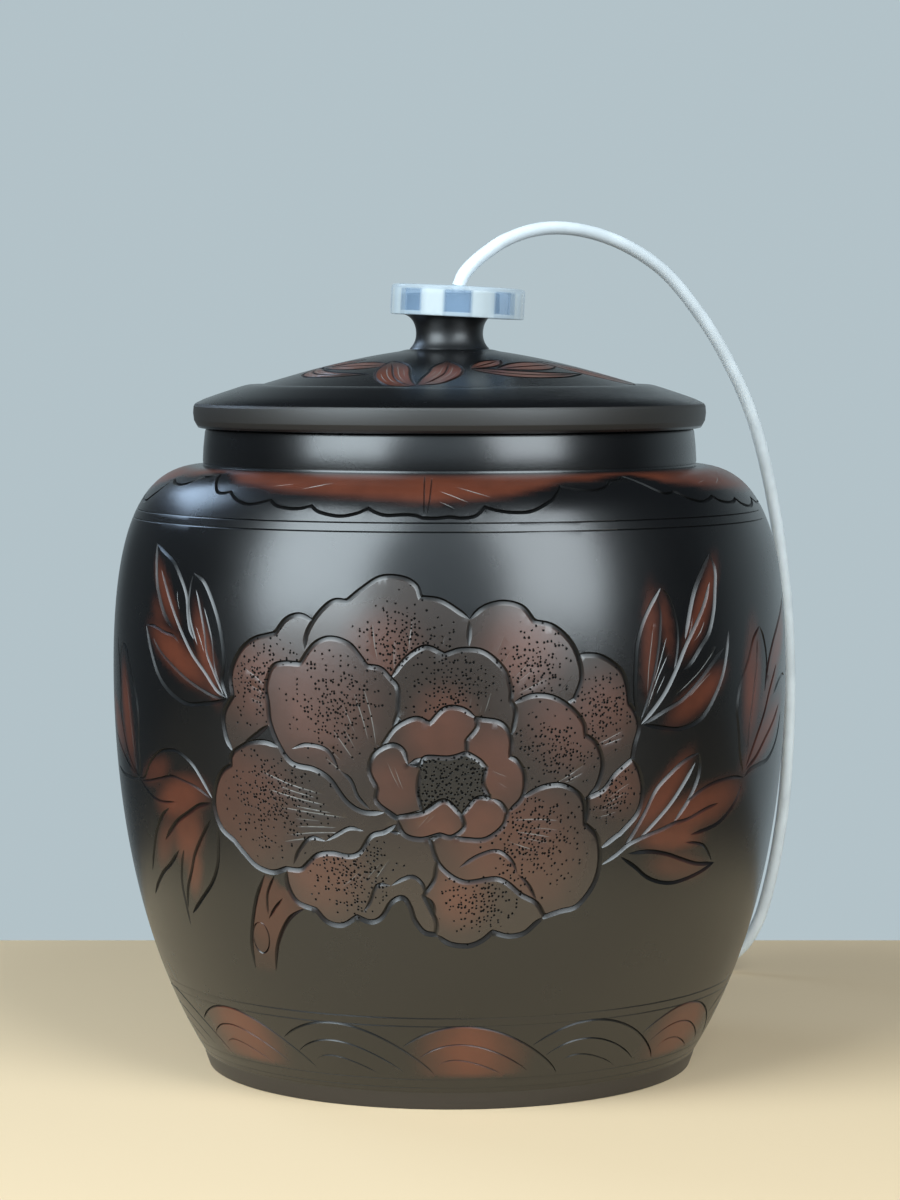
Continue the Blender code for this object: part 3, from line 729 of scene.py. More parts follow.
LAPPET_RED = [(-118, 275), (-110, 271), (-99, 266), (-71, 262), (-48, 260), (-20, 258), (7, 256), (33, 258),
              (47, 260), (65, 265), (75, 269), (90, 269), (104, 273), (118, 275)]

# %% [markdown]
# The sheet has ends, but the wall goes on. A line that runs off one end of the sheet is drawn again at the
# other, and so are the rubbed areas.

# %% Lines and areas that run on past the sheet's ends
PAST_END = 8


def wrapped(panel, line, width, depth, thin=FREE_END):
    """Draws a line that may run off one end of the unrolled wall and in at the other."""
    for shift in (-ROUND_U, 0, ROUND_U):
        moved = line + (shift, 0)
        off_sheet = (moved[:, 0] < LOW_U - PAST_END) | (moved[:, 0] > HIGH_U + PAST_END)
        for run in clear_runs(moved, panel.hidden(moved) | off_sheet):
            panel.strokes.append(stroke(run, width, depth, thin))


def wrapped_shape(panel, outline, rub, middle, reach, base):
    """A rubbed area that may run off one end of the unrolled wall."""
    for shift in (-ROUND_U, 0, ROUND_U):
        moved = outline + (shift, 0)
        if moved[:, 0].max() > LOW_U and moved[:, 0].min() < HIGH_U:
            panel.shape(moved, rub, (middle[0] + shift, middle[1]), reach, base)


# %% Lappets all round, and their red
def lappets(panel):
    """The same lappet at every quarter turn. Its outline hides what is drawn after it."""
    for k in range(LAPPETS):
        middle = (LAPPET_MIDDLE + ROUND_U / LAPPETS * k, 0)
        wrapped(panel, LAPPET_EDGE + middle, 1.7, 0.6, 2.0)
        for line in LAPPET_STEM:
            wrapped(panel, smooth(line) + middle, 0.9, 0.35)
        for line in LAPPET_SCRATCHES:
            wrapped(panel, spaced(line, 2.5) + middle, 0.6, 0.14, 6.0)
        outline = np.concatenate([LAPPET_EDGE, [(112.6, 300), (-123, 300)]]) + middle
        wrapped_shape(panel, outline, 0.0, (middle[0], 268), 1.0, 1.0)


def shoulder_rub(points):
    """The lappets are rubbed with red in a band that fades out above their edge and below the collar."""
    u, s = points.T
    pitch = ROUND_U / LAPPETS
    along = (u - LAPPET_MIDDLE + 0.5 * pitch) % pitch - 0.5 * pitch
    low = np.interp(along, *np.array(LAPPET_RED).T)
    return 0.9 * softened(np.clip(np.minimum((s - low) / 6, (284 - s) / 9), 0, 1))


# %% [markdown]
# ## The waves
#
# Waves roll round the foot. Each is three arcs inside one another that lean to one side, its right side runs
# over the next one's left, and every second one is rubbed with red. They follow a rule, so a formula and a
# loop draw them, where a list of points would only repeat itself.

# %% Waves all round
WAVES = 14
WAVE_MIDDLE = 10.0
OUTER_ARC = (50, 26, 3)
MIDDLE_ARC = (35, 17, 5)
INNER_ARC = (20, 9, 7)


def arc(middle, half, rise, lean):
    """One arc of a wave: half its width, its rise, and how far its top leans to the left."""
    t = np.linspace(-1, 1, 60)
    hill = np.cos(0.5 * math.pi * t) ** 0.8
    return np.stack([middle + half * t - lean * (1 - t * t), 9.0 + rise * hill], 1)


def waves(panel):
    """All the waves, and the red of every second one."""
    pitch = ROUND_U / WAVES
    middles = [WAVE_MIDDLE + pitch * k for k in range(WAVES)]
    kept = panel.covers
    for middle in middles:
        before = arc(middle - pitch, *OUTER_ARC)
        panel.covers = [before + (shift, 0) for shift in (-ROUND_U, 0, ROUND_U)]
        wrapped(panel, spaced(arc(middle, *OUTER_ARC), 1.6), 1.1, 0.5, 7.0)
        wrapped(panel, spaced(arc(middle, *MIDDLE_ARC), 1.6)[6:-2], 0.8, 0.45, 8.0)
        wrapped(panel, spaced(arc(middle, *INNER_ARC), 1.6)[4:], 0.8, 0.4, 8.0)
    panel.covers = kept
    for middle in middles[::2]:
        wrapped_shape(panel, arc(middle, *OUTER_ARC), 0.95, (middle + 2, 22), 32.0, 0.0)


# %% The whole drawing of the wall, with its turned lines
RINGS = (2.8, 7.5, 35.0, 39.0, 245.0, 249.0)
RING_POINTS = 300

wall_panel = Panel()
peony_spray(wall_panel, 0.0)
peony_spray(wall_panel, 0.5 * ROUND_U, -1)
lappets(wall_panel)
waves(wall_panel)
ring_u = np.linspace(LOW_U - PAST_END, HIGH_U + PAST_END, RING_POINTS)
for height in RINGS:
    wall_panel.strokes.append(stroke(np.stack([ring_u, np.full(RING_POINTS, height)], 1), 0.7, 0.26, 0.0))
print("strokes on the wall:", len(wall_panel.strokes))

# %% [markdown]
# ## Carving a surface
#
# A real groove is a shallow trough with a steep side and a wide slanting one, which catches the light. A
# Boolean cut for each of hundreds of strokes would be slow and could fail. Instead each stroke becomes three
# rows of points: its two edges and its bottom. They are triangulated together with an even spread of points
# over the rest of the sheet, and the bottoms are sunk when the sheet is laid on the clay.

# %% The rows of one stroke
SLANT = 0.45


def stroke_rows(one, up):
    """A stroke's two edges and its bottom, which lies nearer the upper edge, so its lower side is wide."""
    line = one["line"]
    run = np.gradient(line, axis=0)
    run /= np.maximum(np.hypot(run[:, 0], run[:, 1]), 1e-9)[:, None]
    side = np.stack([-run[:, 1], run[:, 0]], 1)
    along = distances(line)
    share = np.ones(len(line))
    if one["thin"] > 0:
        share = np.clip(np.minimum(along, along[-1] - along) / one["thin"], 0.0, 1.0) ** 0.6
    half = 0.5 * one["width"] * share
    lift = (side * up(line)).sum(1)
    rows = [line + side * (k * half)[:, None] for k in (1, SLANT * lift, -1)]
    full = np.full(len(line), one["depth"])
    return rows, np.column_stack([line, side, full * share, half, lift, full])


# %% How deep the carving is at a point
REACH = 1.35
SAMPLES = 6


def sunk_by(strokes, up):
    """The strokes' points as a tree, and a function that measures the carving at each of a list of points.

    It gives how deep the carving is, how far it faces down, which sets the painted shade of the wall, and how
    deep the whole stroke is.
    """
    samples = []
    for one in strokes:
        _, columns = stroke_rows(one, up)
        at = np.linspace(0, len(columns) - 1, SAMPLES * len(columns))
        index = np.arange(len(columns))
        samples += zip(*(np.interp(at, index, row) for row in columns.T))
    tree = kdtree.KDTree(len(samples))
    for i, sample in enumerate(samples):
        tree.insert((sample[0], sample[1], 0), i)
    tree.balance()

    def depth_at(points):
        found = np.zeros((len(points), 3))
        for i, (x, y) in enumerate(points):
            for _, k, _ in tree.find_range((x, y, 0), REACH):
                at_x, at_y, side_x, side_y, deep, half, lift, full = samples[k]
                if half < 0.01:
                    continue
                across = ((x - at_x) * side_x + (y - at_y) * side_y) / half
                ahead = ((x - at_x) * side_y - (y - at_y) * side_x) / half
                if max(abs(across), abs(ahead)) >= 1:
                    continue
                bottom = SLANT * lift
                hand = 1 if across > bottom else -1
                depth = deep * (1 - hand * across) / (1 - hand * bottom) * (1 - ahead * ahead)
                if depth > found[i, 0]:
                    # Painted shade: most on a wall that faces down, some on one that faces sideways, none on
                    # one that faces up.
                    found[i] = depth, 0.35 + 0.65 * hand * lift, full
        return found.T

    return tree, depth_at


# %% [markdown]
# The finish needs to know what was done at each place: how much red was rubbed in, how thick the stipple is,
# and how pale the clay is made, as dust and a painted sheen. A picture would blur the fine lines. So these
# measures are written into the mesh as attributes, which are as fine as the carving itself.

# %% How each place is rubbed, stippled and worn
def tint(panel, points):
    """How red each point is rubbed, how thickly it is stippled, and how pale, as dust and painted sheen."""
    rub = np.zeros(len(points))
    dots = np.zeros(len(points))
    pale = np.zeros(len(points))
    free = np.ones(len(points), bool)
    for patch in panel.patches:
        outline = patch["outline"]
        index = np.flatnonzero(free & ((points > outline.min(0)) & (points < outline.max(0))).all(1))
        index = index[within(outline, points[index])]
        free[index] = False
        away = points[index] - patch["middle"]
        soft = softened(np.clip(1.15 - np.hypot(away[:, 0], away[:, 1]) / patch["reach"], 0, 1))
        rub[index] = patch["rub"] * (patch["base"] + (1 - patch["base"]) * soft)
        if patch["dots"]:
            away = points[index] - patch["dots"][0]
            dots[index] = np.clip(1.1 - np.hypot(away[:, 0], away[:, 1]) / patch["dots"][1], 0, 0.95) ** 1.5
        pale[index] = patch["pale"]
    for strength, centre, length, width, turn in panel.glows:
        away = points - centre
        along = away[:, 0] * math.sin(turn) + away[:, 1] * math.cos(turn)
        across = away[:, 0] * math.cos(turn) - away[:, 1] * math.sin(turn)
        soft = softened(np.clip(1.3 - np.hypot(along / length, across / width), 0, 1))
        rub = np.maximum(rub, free * strength * soft)
    return rub, dots, pale


# %% The flat triangles of a sheet
def sheet(strokes, edge_lines, keep, low, high, spacing, up, tree):
    """Triangles whose edges follow every row of every stroke, with an even spread of points between."""
    verts = []
    edges = []
    for line in [row for one in strokes for row in stroke_rows(one, up)[0]] + edge_lines:
        first = len(verts)
        verts.extend(line.tolist())
        edges.extend((first + i, first + i + 1) for i in range(len(line) - 1))
    rows = int((high[1] - low[1]) / (spacing * 0.866))
    for j in range(1, rows):
        y = low[1] + (high[1] - low[1]) * j / rows
        shift = 0.5 * spacing if j % 2 else 0.0
        for x in np.arange(low[0] + 0.4 * spacing + shift, high[0] - 0.3 * spacing, spacing):
            if keep(x, y, 0.6) and tree.find((x, y, 0))[2] > 1.0:
                verts.append((x, y))
    flat = geometry.delaunay_2d_cdt([Vector(v) for v in verts], edges, [], 0, 1e-4, False)
    points = np.array([tuple(v) for v in flat[0]])
    return points, [f for f in flat[2] if keep(*(points[f[0]] + points[f[1]] + points[f[2]]) / 3, 0.0)]


# %% The carved mesh, with its measures
DEEP = 0.2


def new_object(name, data):
    made = bpy.data.objects.new(name, data)
    bpy.context.scene.collection.objects.link(made)
    return made


def write_measures(mesh, domain, measures):
    for word, values in measures.items():
        mesh.attributes.new(word, "FLOAT", domain).data.foreach_set("value", values.astype(np.float32))


def carve(name, panel, place, edge_lines, keep, low, high, spacing, up, airbrush=None):
    """The carved surface as a mesh, within its edge lines. Up gives the upward way at each point."""
    tree, depth_at = sunk_by(panel.strokes, up)
    points, faces = sheet(panel.strokes, edge_lines, keep, low, high, spacing, up, tree)
    depth, _, full = depth_at(points)
    mesh = bpy.data.meshes.new(name)
    mesh.from_pydata(place(points[:, 0], points[:, 1], depth).tolist(), [], faces)
    rub, dots, pale = tint(panel, points)
    if airbrush:
        rub = np.maximum(rub, airbrush(points))
    # How deep a point is cut; the finish paints shade into the deep cuts from it.
    groove = np.clip((depth - DEEP) / DEEP, 0, 1)
    scratch = np.where(full < DEEP, np.clip(depth / 0.12, 0, 1), 0.0)
    write_measures(mesh, "POINT", {"rub": rub, "dots": dots, "pale": pale})
    write_measures(mesh, "POINT", {"groove": groove, "scratch": scratch})
    # The painted shade of each cut face, from how far its wall faces down.
    middles = np.array([points[list(f)].mean(0) for f in faces])
    cut = np.array([depth[list(f)].max() > DEEP for f in faces])
    shade = np.zeros(len(faces))
    shade[cut] = np.clip(depth_at(middles[cut])[1], 0, 1)
    write_measures(mesh, "FACE", {"shade": shade})
    layer = mesh.uv_layers.new(name="flat")
    corner = np.zeros(len(mesh.loops), np.int32)
    mesh.loops.foreach_get("vertex_index", corner)
    layer.data.foreach_set("uv", (points[corner] * 0.01).astype(np.float32).ravel())
    print(name, "has", len(faces), "triangles and is cut", round(depth.max(), 2), "mm deep")
    return new_object(name, mesh)


# %% [markdown]
# ## The jar
#
# The jar is thrown in one piece, and only its wall is carved. The foot, collar, lip and inside have no
# carving, so a plain outline is the shortest way to them: Spin sweeps it round the axis, as the wheel does.
# Then the parts are joined, and the points that they share are merged.

# %% Turning an outline
def turned(name, outline, steps=360):
    """A line of (radius, height) points in millimetres turned round the jar's axis."""
    bm = bmesh.new()
    verts = [bm.verts.new((r * MM, 0, z * MM)) for r, z in outline]
    edges = [bm.edges.new(pair) for pair in zip(verts, verts[1:])]
    bmesh.ops.spin(
        bm,
        geom=verts + edges,
        cent=(0, 0, 0),
        axis=(0, 0, 1),
        angle=2 * math.pi,
        steps=steps,
        use_merge=True,
    )
    mesh = bpy.data.meshes.new(name)
    bm.to_mesh(mesh)
    bm.free()
    print(name, "is turned from", len(outline), "points")
    return new_object(name, mesh)


# %% Shading, and joining parts
def shaded(bm, mesh, sharp):
    """Smooth shading but for edges over an angle in degrees. The shape then goes into its mesh."""
    for face in bm.faces:
        face.smooth = True
    for edge in bm.edges:
        edge.smooth = edge.calc_face_angle(0.0) < math.radians(sharp)
    bm.to_mesh(mesh)
    bm.free()


def joined(name, parts):
    """Pieces of one surface as one object."""
    made = parts[0]
    with bpy.context.temp_override(active_object=made, selected_editable_objects=parts):
        bpy.ops.object.join()
    made.name = name
    bm = bmesh.new()
    bm.from_mesh(made.data)
    bmesh.ops.remove_doubles(bm, verts=bm.verts, dist=2e-6)
    bmesh.ops.recalc_face_normals(bm, faces=bm.faces)
    odd_edges = sum(not edge.is_manifold for edge in bm.edges)
    shaded(bm, made.data, 17)
    print(name, "has", len(made.data.polygons), "faces and", odd_edges, "edges without just two faces")
    return made


# %% The carved wall
SIDE_POINTS = 110
ROUND_POINTS = 361
WALL_SPACING = 3.2


def on_wall(u, s, margin):
    return LOW_U + margin <= u <= HIGH_U - margin and margin <= s <= WALL_S - margin


side_s = np.linspace(0, WALL_S, SIDE_POINTS)
round_u = np.linspace(LOW_U, HIGH_U, ROUND_POINTS)
wall = carve(
    "wall",
    wall_panel,
    wall_place,
    [
        np.stack([np.full(SIDE_POINTS, LOW_U), side_s], 1),
        np.stack([np.full(SIDE_POINTS, HIGH_U), side_s], 1),
        np.stack([round_u, np.zeros(ROUND_POINTS)], 1),
        np.stack([round_u, np.full(ROUND_POINTS, WALL_S)], 1),
    ],
    on_wall,
    (LOW_U, 0.0),
    (HIGH_U, WALL_S),
    WALL_SPACING,
    lambda points: np.broadcast_to((0.0, 1.0), points.shape),
    shoulder_rub,
)

# %% The foot, the collar and the inside, from the axis outwards and back
MOUTH_R = 101.3
WALL = 7.0
FLOOR = 9.0


def inside_wall():
    """The inside of the wall, from the throat down to the floor."""
    inner = PROFILE - WALL * np.stack([SLOPE[:, 1], -SLOPE[:, 0]], 1)
    inner = inner[(inner[:, 1] > FLOOR + 14) & (inner[:, 0] > MOUTH_R + 6)][::-8]
    r, z = inner[-1]
    return join(inner, bezier((r, z), (r - 3, z - 9), (r - 9, FLOOR), (r - 20, FLOOR), 8))


foot = turned(
    "foot",
    [(0, 1.5), (94.9, 1.5), (96.4, 0.3), (97.2, 0), (107.6, 0), (108.3, 0.3), (108.55, 0.9), (109.6, 3.8),
     (110.6, 7.1), FOOT],
)
collar = turned(
    "collar",
    join(
        [COLLAR, (109.75, 268.6), (109.9, 270.0), (109.6, 276.0), (108.9, 282.6), (108.6, 283.5)],
        [(107.9, 284.0), (102.4, 284.0), (101.6, 283.6), (MOUTH_R, 282.8), (MOUTH_R, 262.6)],
        [(101.6, 261.4), (102.6, 260.9)],
        inside_wall(),
        [(0, FLOOR)],
    ),
)
jar = joined("carved_jar", [wall, foot, collar])
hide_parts("jar_body", "jar_floor")

# %% [markdown]
# ## The lid
#
# Clusters of leaves are carved round the knob, the same at every quarter turn. They are small and whole, so
# each is drawn between two edges from its base to its tip, and its midrib and veins follow from the edges.
# The rim, knob, bore and underside are turned, as the jar's foot and collar are.

# %% The leaves on the lid, each as two edges in plan
LID_LEAVES = [
    ([(-14, -81), (-21, -81.5), (-27, -77), (-31, -68), (-32, -58), (-30, -47), (-25, -37)],
     [(-14, -81), (-16, -73), (-17, -64), (-17, -55), (-19, -46), (-25, -37)]),
    ([(-14, -81), (-12, -72), (-9, -63), (-7, -54), (-1, -44)],
     [(-14, -81), (-5, -80), (1, -74), (5, -66), (5, -55), (-1, -44)]),
    ([(9, -58), (16, -56), (27, -55), (38, -51), (48, -44), (58, -34)],
     [(9, -58), (15, -62), (24, -64.5), (34, -63), (44, -57), (52, -48), (58, -34)]),
    ([(20, -55), (24, -46), (30, -37), (38, -29), (47, -24)],
     [(20, -55), (30, -52), (39, -46), (45, -37), (47, -24)]),
    ([(9, -57), (10, -50), (14, -43), (22, -36)],
     [(9, -57), (17, -53), (22, -46), (22, -36)]),
]

# %% Drawing the leaves
LEAF_EDGE_CUT = (1.6, 0.55, 5.0)
VEIN_CUT = (0.6, 0.16, 8.0)
MIDRIB_CUT = (1.2, 0.45, 8.0)


def lid_leaf(panel, edges):
    """A leaf between two edges that run from its base to its tip, with a midrib and fine veins."""
    t = np.linspace(0, 1, 32)
    sides = []
    for edge in edges:
        line = smooth(edge, 0.5)
        share = np.linspace(0, 1, len(line))
        sides.append(np.stack([np.interp(t, share, line[:, k]) for k in (0, 1)], 1))
    middle = 0.5 * (sides[0] + sides[1])
    for side in sides:
        panel.draw(side, *LEAF_EDGE_CUT)
        for share, first, last in ((0.32, 6, 25), (0.64, 9, 20)):
            panel.draw((middle + share * (side - middle))[first:last], *VEIN_CUT)
    panel.draw(middle[2:-4], *MIDRIB_CUT)
    outline = np.concatenate([sides[0], sides[1][::-1]])
    panel.shape(outline, 0.95, middle[14], 0.5 * np.hypot(*(middle[-1] - middle[0])), 0.1)


lid_panel = Panel()
for edges in LID_LEAVES:
    for quarter in range(0, 360, 90):
        lid_leaf(lid_panel, [placed(edge, (0, 0), quarter) for edge in edges])
print("strokes on the lid:", len(lid_panel.strokes))

# %% The carved dome
DOME_SPACING = 3.0
ON_EDGE = 0.01


def on_dome(x, y, margin):
    return DOME_EDGE[0] - ON_EDGE + margin < math.hypot(x, y) < NOTCH[0] + ON_EDGE - margin


ring_turns = np.linspace(0, 2 * math.pi, ROUND_POINTS)
ring = np.stack([np.sin(ring_turns), -np.cos(ring_turns)], 1)
dome = carve(
    "dome",
    lid_panel,
    dome_place,
    [ring * NOTCH[0], ring * DOME_EDGE[0]],
    on_dome,
    (-NOTCH[0], -NOTCH[0]),
    (NOTCH[0], NOTCH[0]),
    DOME_SPACING,
    lambda points: -points / np.maximum(np.hypot(points[:, 0], points[:, 1]), 1.0)[:, None],
)

# %% The knob, the bore, the underside and the rim, from the dome's inner edge to its outer one
LID_WALL = 7

under = [(r, z - LID_WALL) for r, z in DOME[DOME[:, 0] < 84][::-12]]
lid_rest = turned(
    "lid rest",
    join(
        [DOME_EDGE],
        bezier(DOME_EDGE, (21.6, 318.1), (20.0, 318.9), (17.8, 319.0), 5),
        [(17.5, 319.5)],
        bezier((17.5, 319.5), (16.0, 321.0), (15.0, 323.0), (14.9, 325.7), 8),
        bezier((14.9, 325.7), (14.9, 330.4), (17.0, 334.4), (22.2, 334.9), 14),
        [(22.3, 335.4), (22.3, 342.9), (22.0, 343.5), (21.3, 343.8), (9.0, 343.8), (8.3, 343.5)],
        [(8.0, 342.8), (8.0, 312.6), (8.4, 311.9)],
        under,
        [(90.6, 294.3), (94.2, 290.6), (94.8, 287.5), (94.8, 276.9), (95.2, 275.9), (96.0, 275.5)],
        [(98.6, 275.5), (99.4, 275.9), (99.8, 276.9), (99.8, 284.3), (111.2, 284.3), (111.9, 284.5)],
        [(112.3, 285.1), (113.7, 287.7), (114.1, 291.0), (113.85, 293.9), (113.3, 294.9), (112.4, 295.5)],
        [(109.3, 297.0), (104.9, 298.6), (100.4, 300.1), (94.0, 302.2), (91.3, 303.0), (89.3, 303.4)],
        [(87.6, 303.3), (86.2, 303.0), NOTCH],
    ),
)
lid = joined("carved_lid", [dome, lid_rest])
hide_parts("lid")

# %% [markdown]
# ## The cap
#
# A soft cap hangs loosely on the knob's disc and leans to the right. Eight ribs inside its skirt show through
# it as pale bands. They could be eight boxes joined on, but a moulded cap is one skin. So the cap is turned,
# and the inner points of its skirt are pulled in where a rib is. How much of a rib each point is goes into
# the mesh, for the finish.

# %% Where the ribs are
CAP_TILT = math.radians(2.8)
CAP_PLACE = Matrix.Translation((0.0039, 0, 0.34500)) @ Matrix.Rotation(CAP_TILT, 4, "Y")
RIBS = 8
RIB_DEPTH = 1.8


def rib_at(turn):
    """Nought between the ribs and one on them, at a turn from the front."""
    share = (turn / (2 * math.pi) * RIBS) % 1
    return softened(min(max((0.26 - abs(share - 0.5)) / 0.05, 0), 1))


# %% The cap, turned upright, ribbed and then leant on its knob
PLAIN_RIB = 0.7

cap = turned(
    "soft_cap",
    [(28.45, -11.7), (29.4, -11.7), (29.75, -11.4), (29.8, -10.9), (29.8, -10.0), (29.8, -9.7), (29.8, -0.6),
     (29.8, 0.2), (29.65, 1.0), (29.2, 1.55), (28.4, 1.8), (4.6, 1.8), (4.2, 2.3), (3.5, 2.4), (3.2, 2.1),
     (3.2, 0.0), (27.7, 0.0), (28.2, -0.6), (28.2, -9.7), (28.2, -10.0), (28.2, -11.3), (28.45, -11.7)],
    240,
)
bm = bmesh.new()
bm.from_mesh(cap.data)
bmesh.ops.remove_doubles(bm, verts=bm.verts, dist=1e-6)
bmesh.ops.recalc_face_normals(bm, faces=bm.faces)
rib_layer = bm.verts.layers.float.new("rib")
for vert in bm.verts:
    r = math.hypot(vert.co.x, vert.co.y)
    on_skirt = vert.co.z < 0.1 * MM and r > 20 * MM
    rib = rib_at(math.atan2(vert.co.x, -vert.co.y)) if on_skirt else PLAIN_RIB
    vert[rib_layer] = max(rib, PLAIN_RIB) if vert.co.z < -9.9 * MM else rib
    if on_skirt and r < 28.6 * MM:
        vert.co.xy *= 1 - rib * RIB_DEPTH * MM / r
bm.transform(CAP_PLACE)
shaded(bm, cap.data, 38)
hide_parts("knob_cap")
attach(cap, "cap")

# %% [markdown]
# ## The hose
#
# One hose runs up from the strainer, out of the cap, over to the right and down behind the jar into a coil.
# A curve with a round bevel is the quickest tube, and Solidify gives it its bore. It is made in three
# pieces, and the cap carries the piece inside.

# %% The length of a path
def length_of(path):
    return float(distances(path)[-1])


# %% A tube along a path
HOSE_R = 3.0
HOSE_BORE = 2.0


def hose(name, path):
    """A hollow tube along a path: a round bevelled curve, made a mesh and given its wall."""
    line = bpy.data.curves.new(name, "CURVE")
    line.dimensions = "3D"
    line.bevel_depth = HOSE_R * MM
    line.bevel_resolution = 8
    spline = line.splines.new("POLY")
    spline.points.add(len(path) - 1)
    spline.points.foreach_set("co", np.column_stack([path, np.ones(len(path))]).ravel())
    carrier = bpy.data.objects.new(name, line)
    bm = bmesh.new()
    bm.from_mesh(bpy.data.meshes.new_from_object(carrier))
    bpy.data.objects.remove(carrier)
    bmesh.ops.recalc_face_normals(bm, faces=bm.faces)
    bmesh.ops.solidify(bm, geom=bm.faces, thickness=(HOSE_R - HOSE_BORE) * MM)
    bmesh.ops.recalc_face_normals(bm, faces=bm.faces)
    mesh = bpy.data.meshes.new(name)
    shaded(bm, mesh, 50)
    print(name, "has", len(mesh.polygons), "faces and is", round(length_of(path), 3), "m long")
    return new_object(name, mesh)


# %% The coil behind the jar
COIL_TURNS = 3.5
COIL_R = 0.038
COIL_PITCH = 0.0066
POINTS_A_TURN = 48


def coil_path():
    """In on the lower layer, up in the half turn where the spiral reverses, and out on the upper one."""
    centre = np.array([0.020, 0.172, 0.00305])
    turns = np.linspace(0, COIL_TURNS, round(COIL_TURNS * POINTS_A_TURN) + 1)
    radius = COIL_R - COIL_PITCH * (0.5 * COIL_TURNS - np.abs(turns - 0.5 * COIL_TURNS))
    angle = math.pi / 2 + 2 * math.pi * turns
    height = COIL_PITCH * softened(np.clip((turns - 1.5) / 0.5, 0, 1)) + 0.000825 * (1 - np.cos(angle))
    return centre + np.stack([radius * np.cos(angle), radius * np.sin(angle), height], 1)


# %% The route over the lid, and down behind the jar
UP = CAP_PLACE.to_3x3() @ Vector((0, 0, 1))
EXIT = CAP_PLACE @ Vector((0, 0, 0.0018))
ARCH_ROUTE = [
    (0.0062, 0.0005, 0.3520),
    (0.0105, 0.0022, 0.3571),
    (0.0165, 0.0058, 0.3621),
    (0.0250, 0.0120, 0.3677),
    (0.0372, 0.0210, 0.3723),
    (0.0501, 0.0310, 0.3738),
    (0.0642, 0.0420, 0.3722),
    (0.0785, 0.0530, 0.3677),
    (0.0916, 0.0630, 0.3608),
    (0.1030, 0.0720, 0.3520),
    (0.1148, 0.0820, 0.3386),
]
DROP_ROUTE = [
    (0.1257, 0.0920, 0.3237),
    (0.1358, 0.1025, 0.3065),
    (0.1433, 0.1115, 0.2910),
    (0.1490, 0.1195, 0.2755),
    (0.1542, 0.1280, 0.2573),
    (0.1584, 0.1360, 0.2395),
    (0.1620, 0.1435, 0.2210),
    (0.1655, 0.1520, 0.1975),
    (0.1680, 0.1600, 0.1735),
    (0.1695, 0.1690, 0.1450),
    (0.1696, 0.1770, 0.1180),
    (0.1686, 0.1840, 0.0920),
    (0.1660, 0.1905, 0.0670),
    (0.1622, 0.1960, 0.0450),
    (0.1575, 0.2005, 0.0275),
    (0.1500, 0.2050, 0.0135),
    (0.1395, 0.2085, 0.0058),
    (0.1260, 0.2108, 0.0033),
    (0.1060, 0.2116, 0.0031),
    (0.0820, 0.2112, 0.0032),
    (0.0580, 0.2104, 0.0035),
    (0.0380, 0.2100, 0.0032),
]
print("the hose leaves the cap at", [round(part, 4) for part in EXIT])

# %% The three pieces of the hose
whole = smooth([EXIT, *ARCH_ROUTE, *DROP_ROUTE[:-1], *coil_path()[::4], (0.034, 0.134, 0.0097)], 0.0022, 16)
join_at = int(np.argmin(np.linalg.norm(whole - np.array(ARCH_ROUTE[-1]), axis=1)))
arch_path = whole[: join_at + 1]
drop_path = whole[join_at:]
foot_of_dip = np.array([-0.0075, 0.002, 0.0439])
dip_ends = [np.array(EXIT), np.array(EXIT - UP * 0.1), foot_of_dip + (0, 0, 0.1), foot_of_dip]
dip_path = bezier(*dip_ends, 90)

dip = hose("hose_inside", dip_path)
arch = hose("hose_over_lid", arch_path)
drop = hose("hose_behind_jar", drop_path)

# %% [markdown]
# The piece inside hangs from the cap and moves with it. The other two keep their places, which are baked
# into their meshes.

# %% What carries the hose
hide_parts("hose_dip")
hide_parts("hose_arch")
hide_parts("hose_drop", "hose_coil")
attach(dip, "cap")
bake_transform(arch)
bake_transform(drop)
tie = nodes["coil_tie"]
round(length_of(arch_path), 3)
round(length_of(drop_path), 3)

# %% [markdown]
# ## Finishes
#
# Blender's Principled shader can stand for most finishes. What makes one look real is how its colour and
# gloss change from place to place. A few small helpers keep the node trees short and readable.

# %% Small helpers for shader nodes
def new_material(name, colour, roughness, metallic=0.0):
    made = bpy.data.materials.new(name)
    made.use_nodes = True
    shader = made.node_tree.nodes["Principled BSDF"]
    shader.inputs["Base Color"].default_value = (*colour, 1)
    shader.inputs["Roughness"].default_value = roughness
    shader.inputs["Metallic"].default_value = metallic
    return made, shader


def feed(tree, socket, value):
    """Links a socket to another one, or sets it to a constant."""
    if isinstance(value, bpy.types.NodeSocket):
        tree.links.new(value, socket)
    else:
        socket.default_value = value


def add_node(tree, kind, settings=None, **values):
    """A shader node with its settings, its constant inputs, and its inputs that are linked to sockets."""
    made = tree.nodes.new("ShaderNode" + kind)
    for key, value in (settings or {}).items():
        setattr(made, key, value)
    for key, value in values.items():
        socket = made.inputs[int(key[1:])] if key[0] == "i" and key[1:].isdigit() else made.inputs[key]
        feed(tree, socket, value)
    return made


# %% Blending, mapping and sums
def mixed(tree, share, first, second):
    """A blend of two colours, or of two numbers."""
    colours = isinstance(second, tuple)
    made = tree.nodes.new("ShaderNodeMix")
    made.data_type = "RGBA" if colours else "FLOAT"
    kind = "RGBA" if colours else "VALUE"
    ends = [x for x in made.inputs if x.type == kind and x.name in "AB"]
    for socket, value in zip([made.inputs["Factor"], *ends], (share, first, second)):
        feed(tree, socket, value)
    return next(x for x in made.outputs if x.type == kind)


def ramp(tree, value, low, high, first=0.0, last=1.0):
    """A number that goes from the first to the last as the value goes from low to high."""
    made = add_node(tree, "MapRange", {"clamp": True}, Value=value)
    for word, number in (("From Min", low), ("From Max", high), ("To Min", first), ("To Max", last)):
        made.inputs[word].default_value = number
    return made.outputs[0]


def maths(tree, operation, *numbers):
    """A sum of up to three numbers or sockets."""
    values = {f"i{k}": number for k, number in enumerate(numbers)}
    return add_node(tree, "Math", {"operation": operation}, **values).outputs[0]


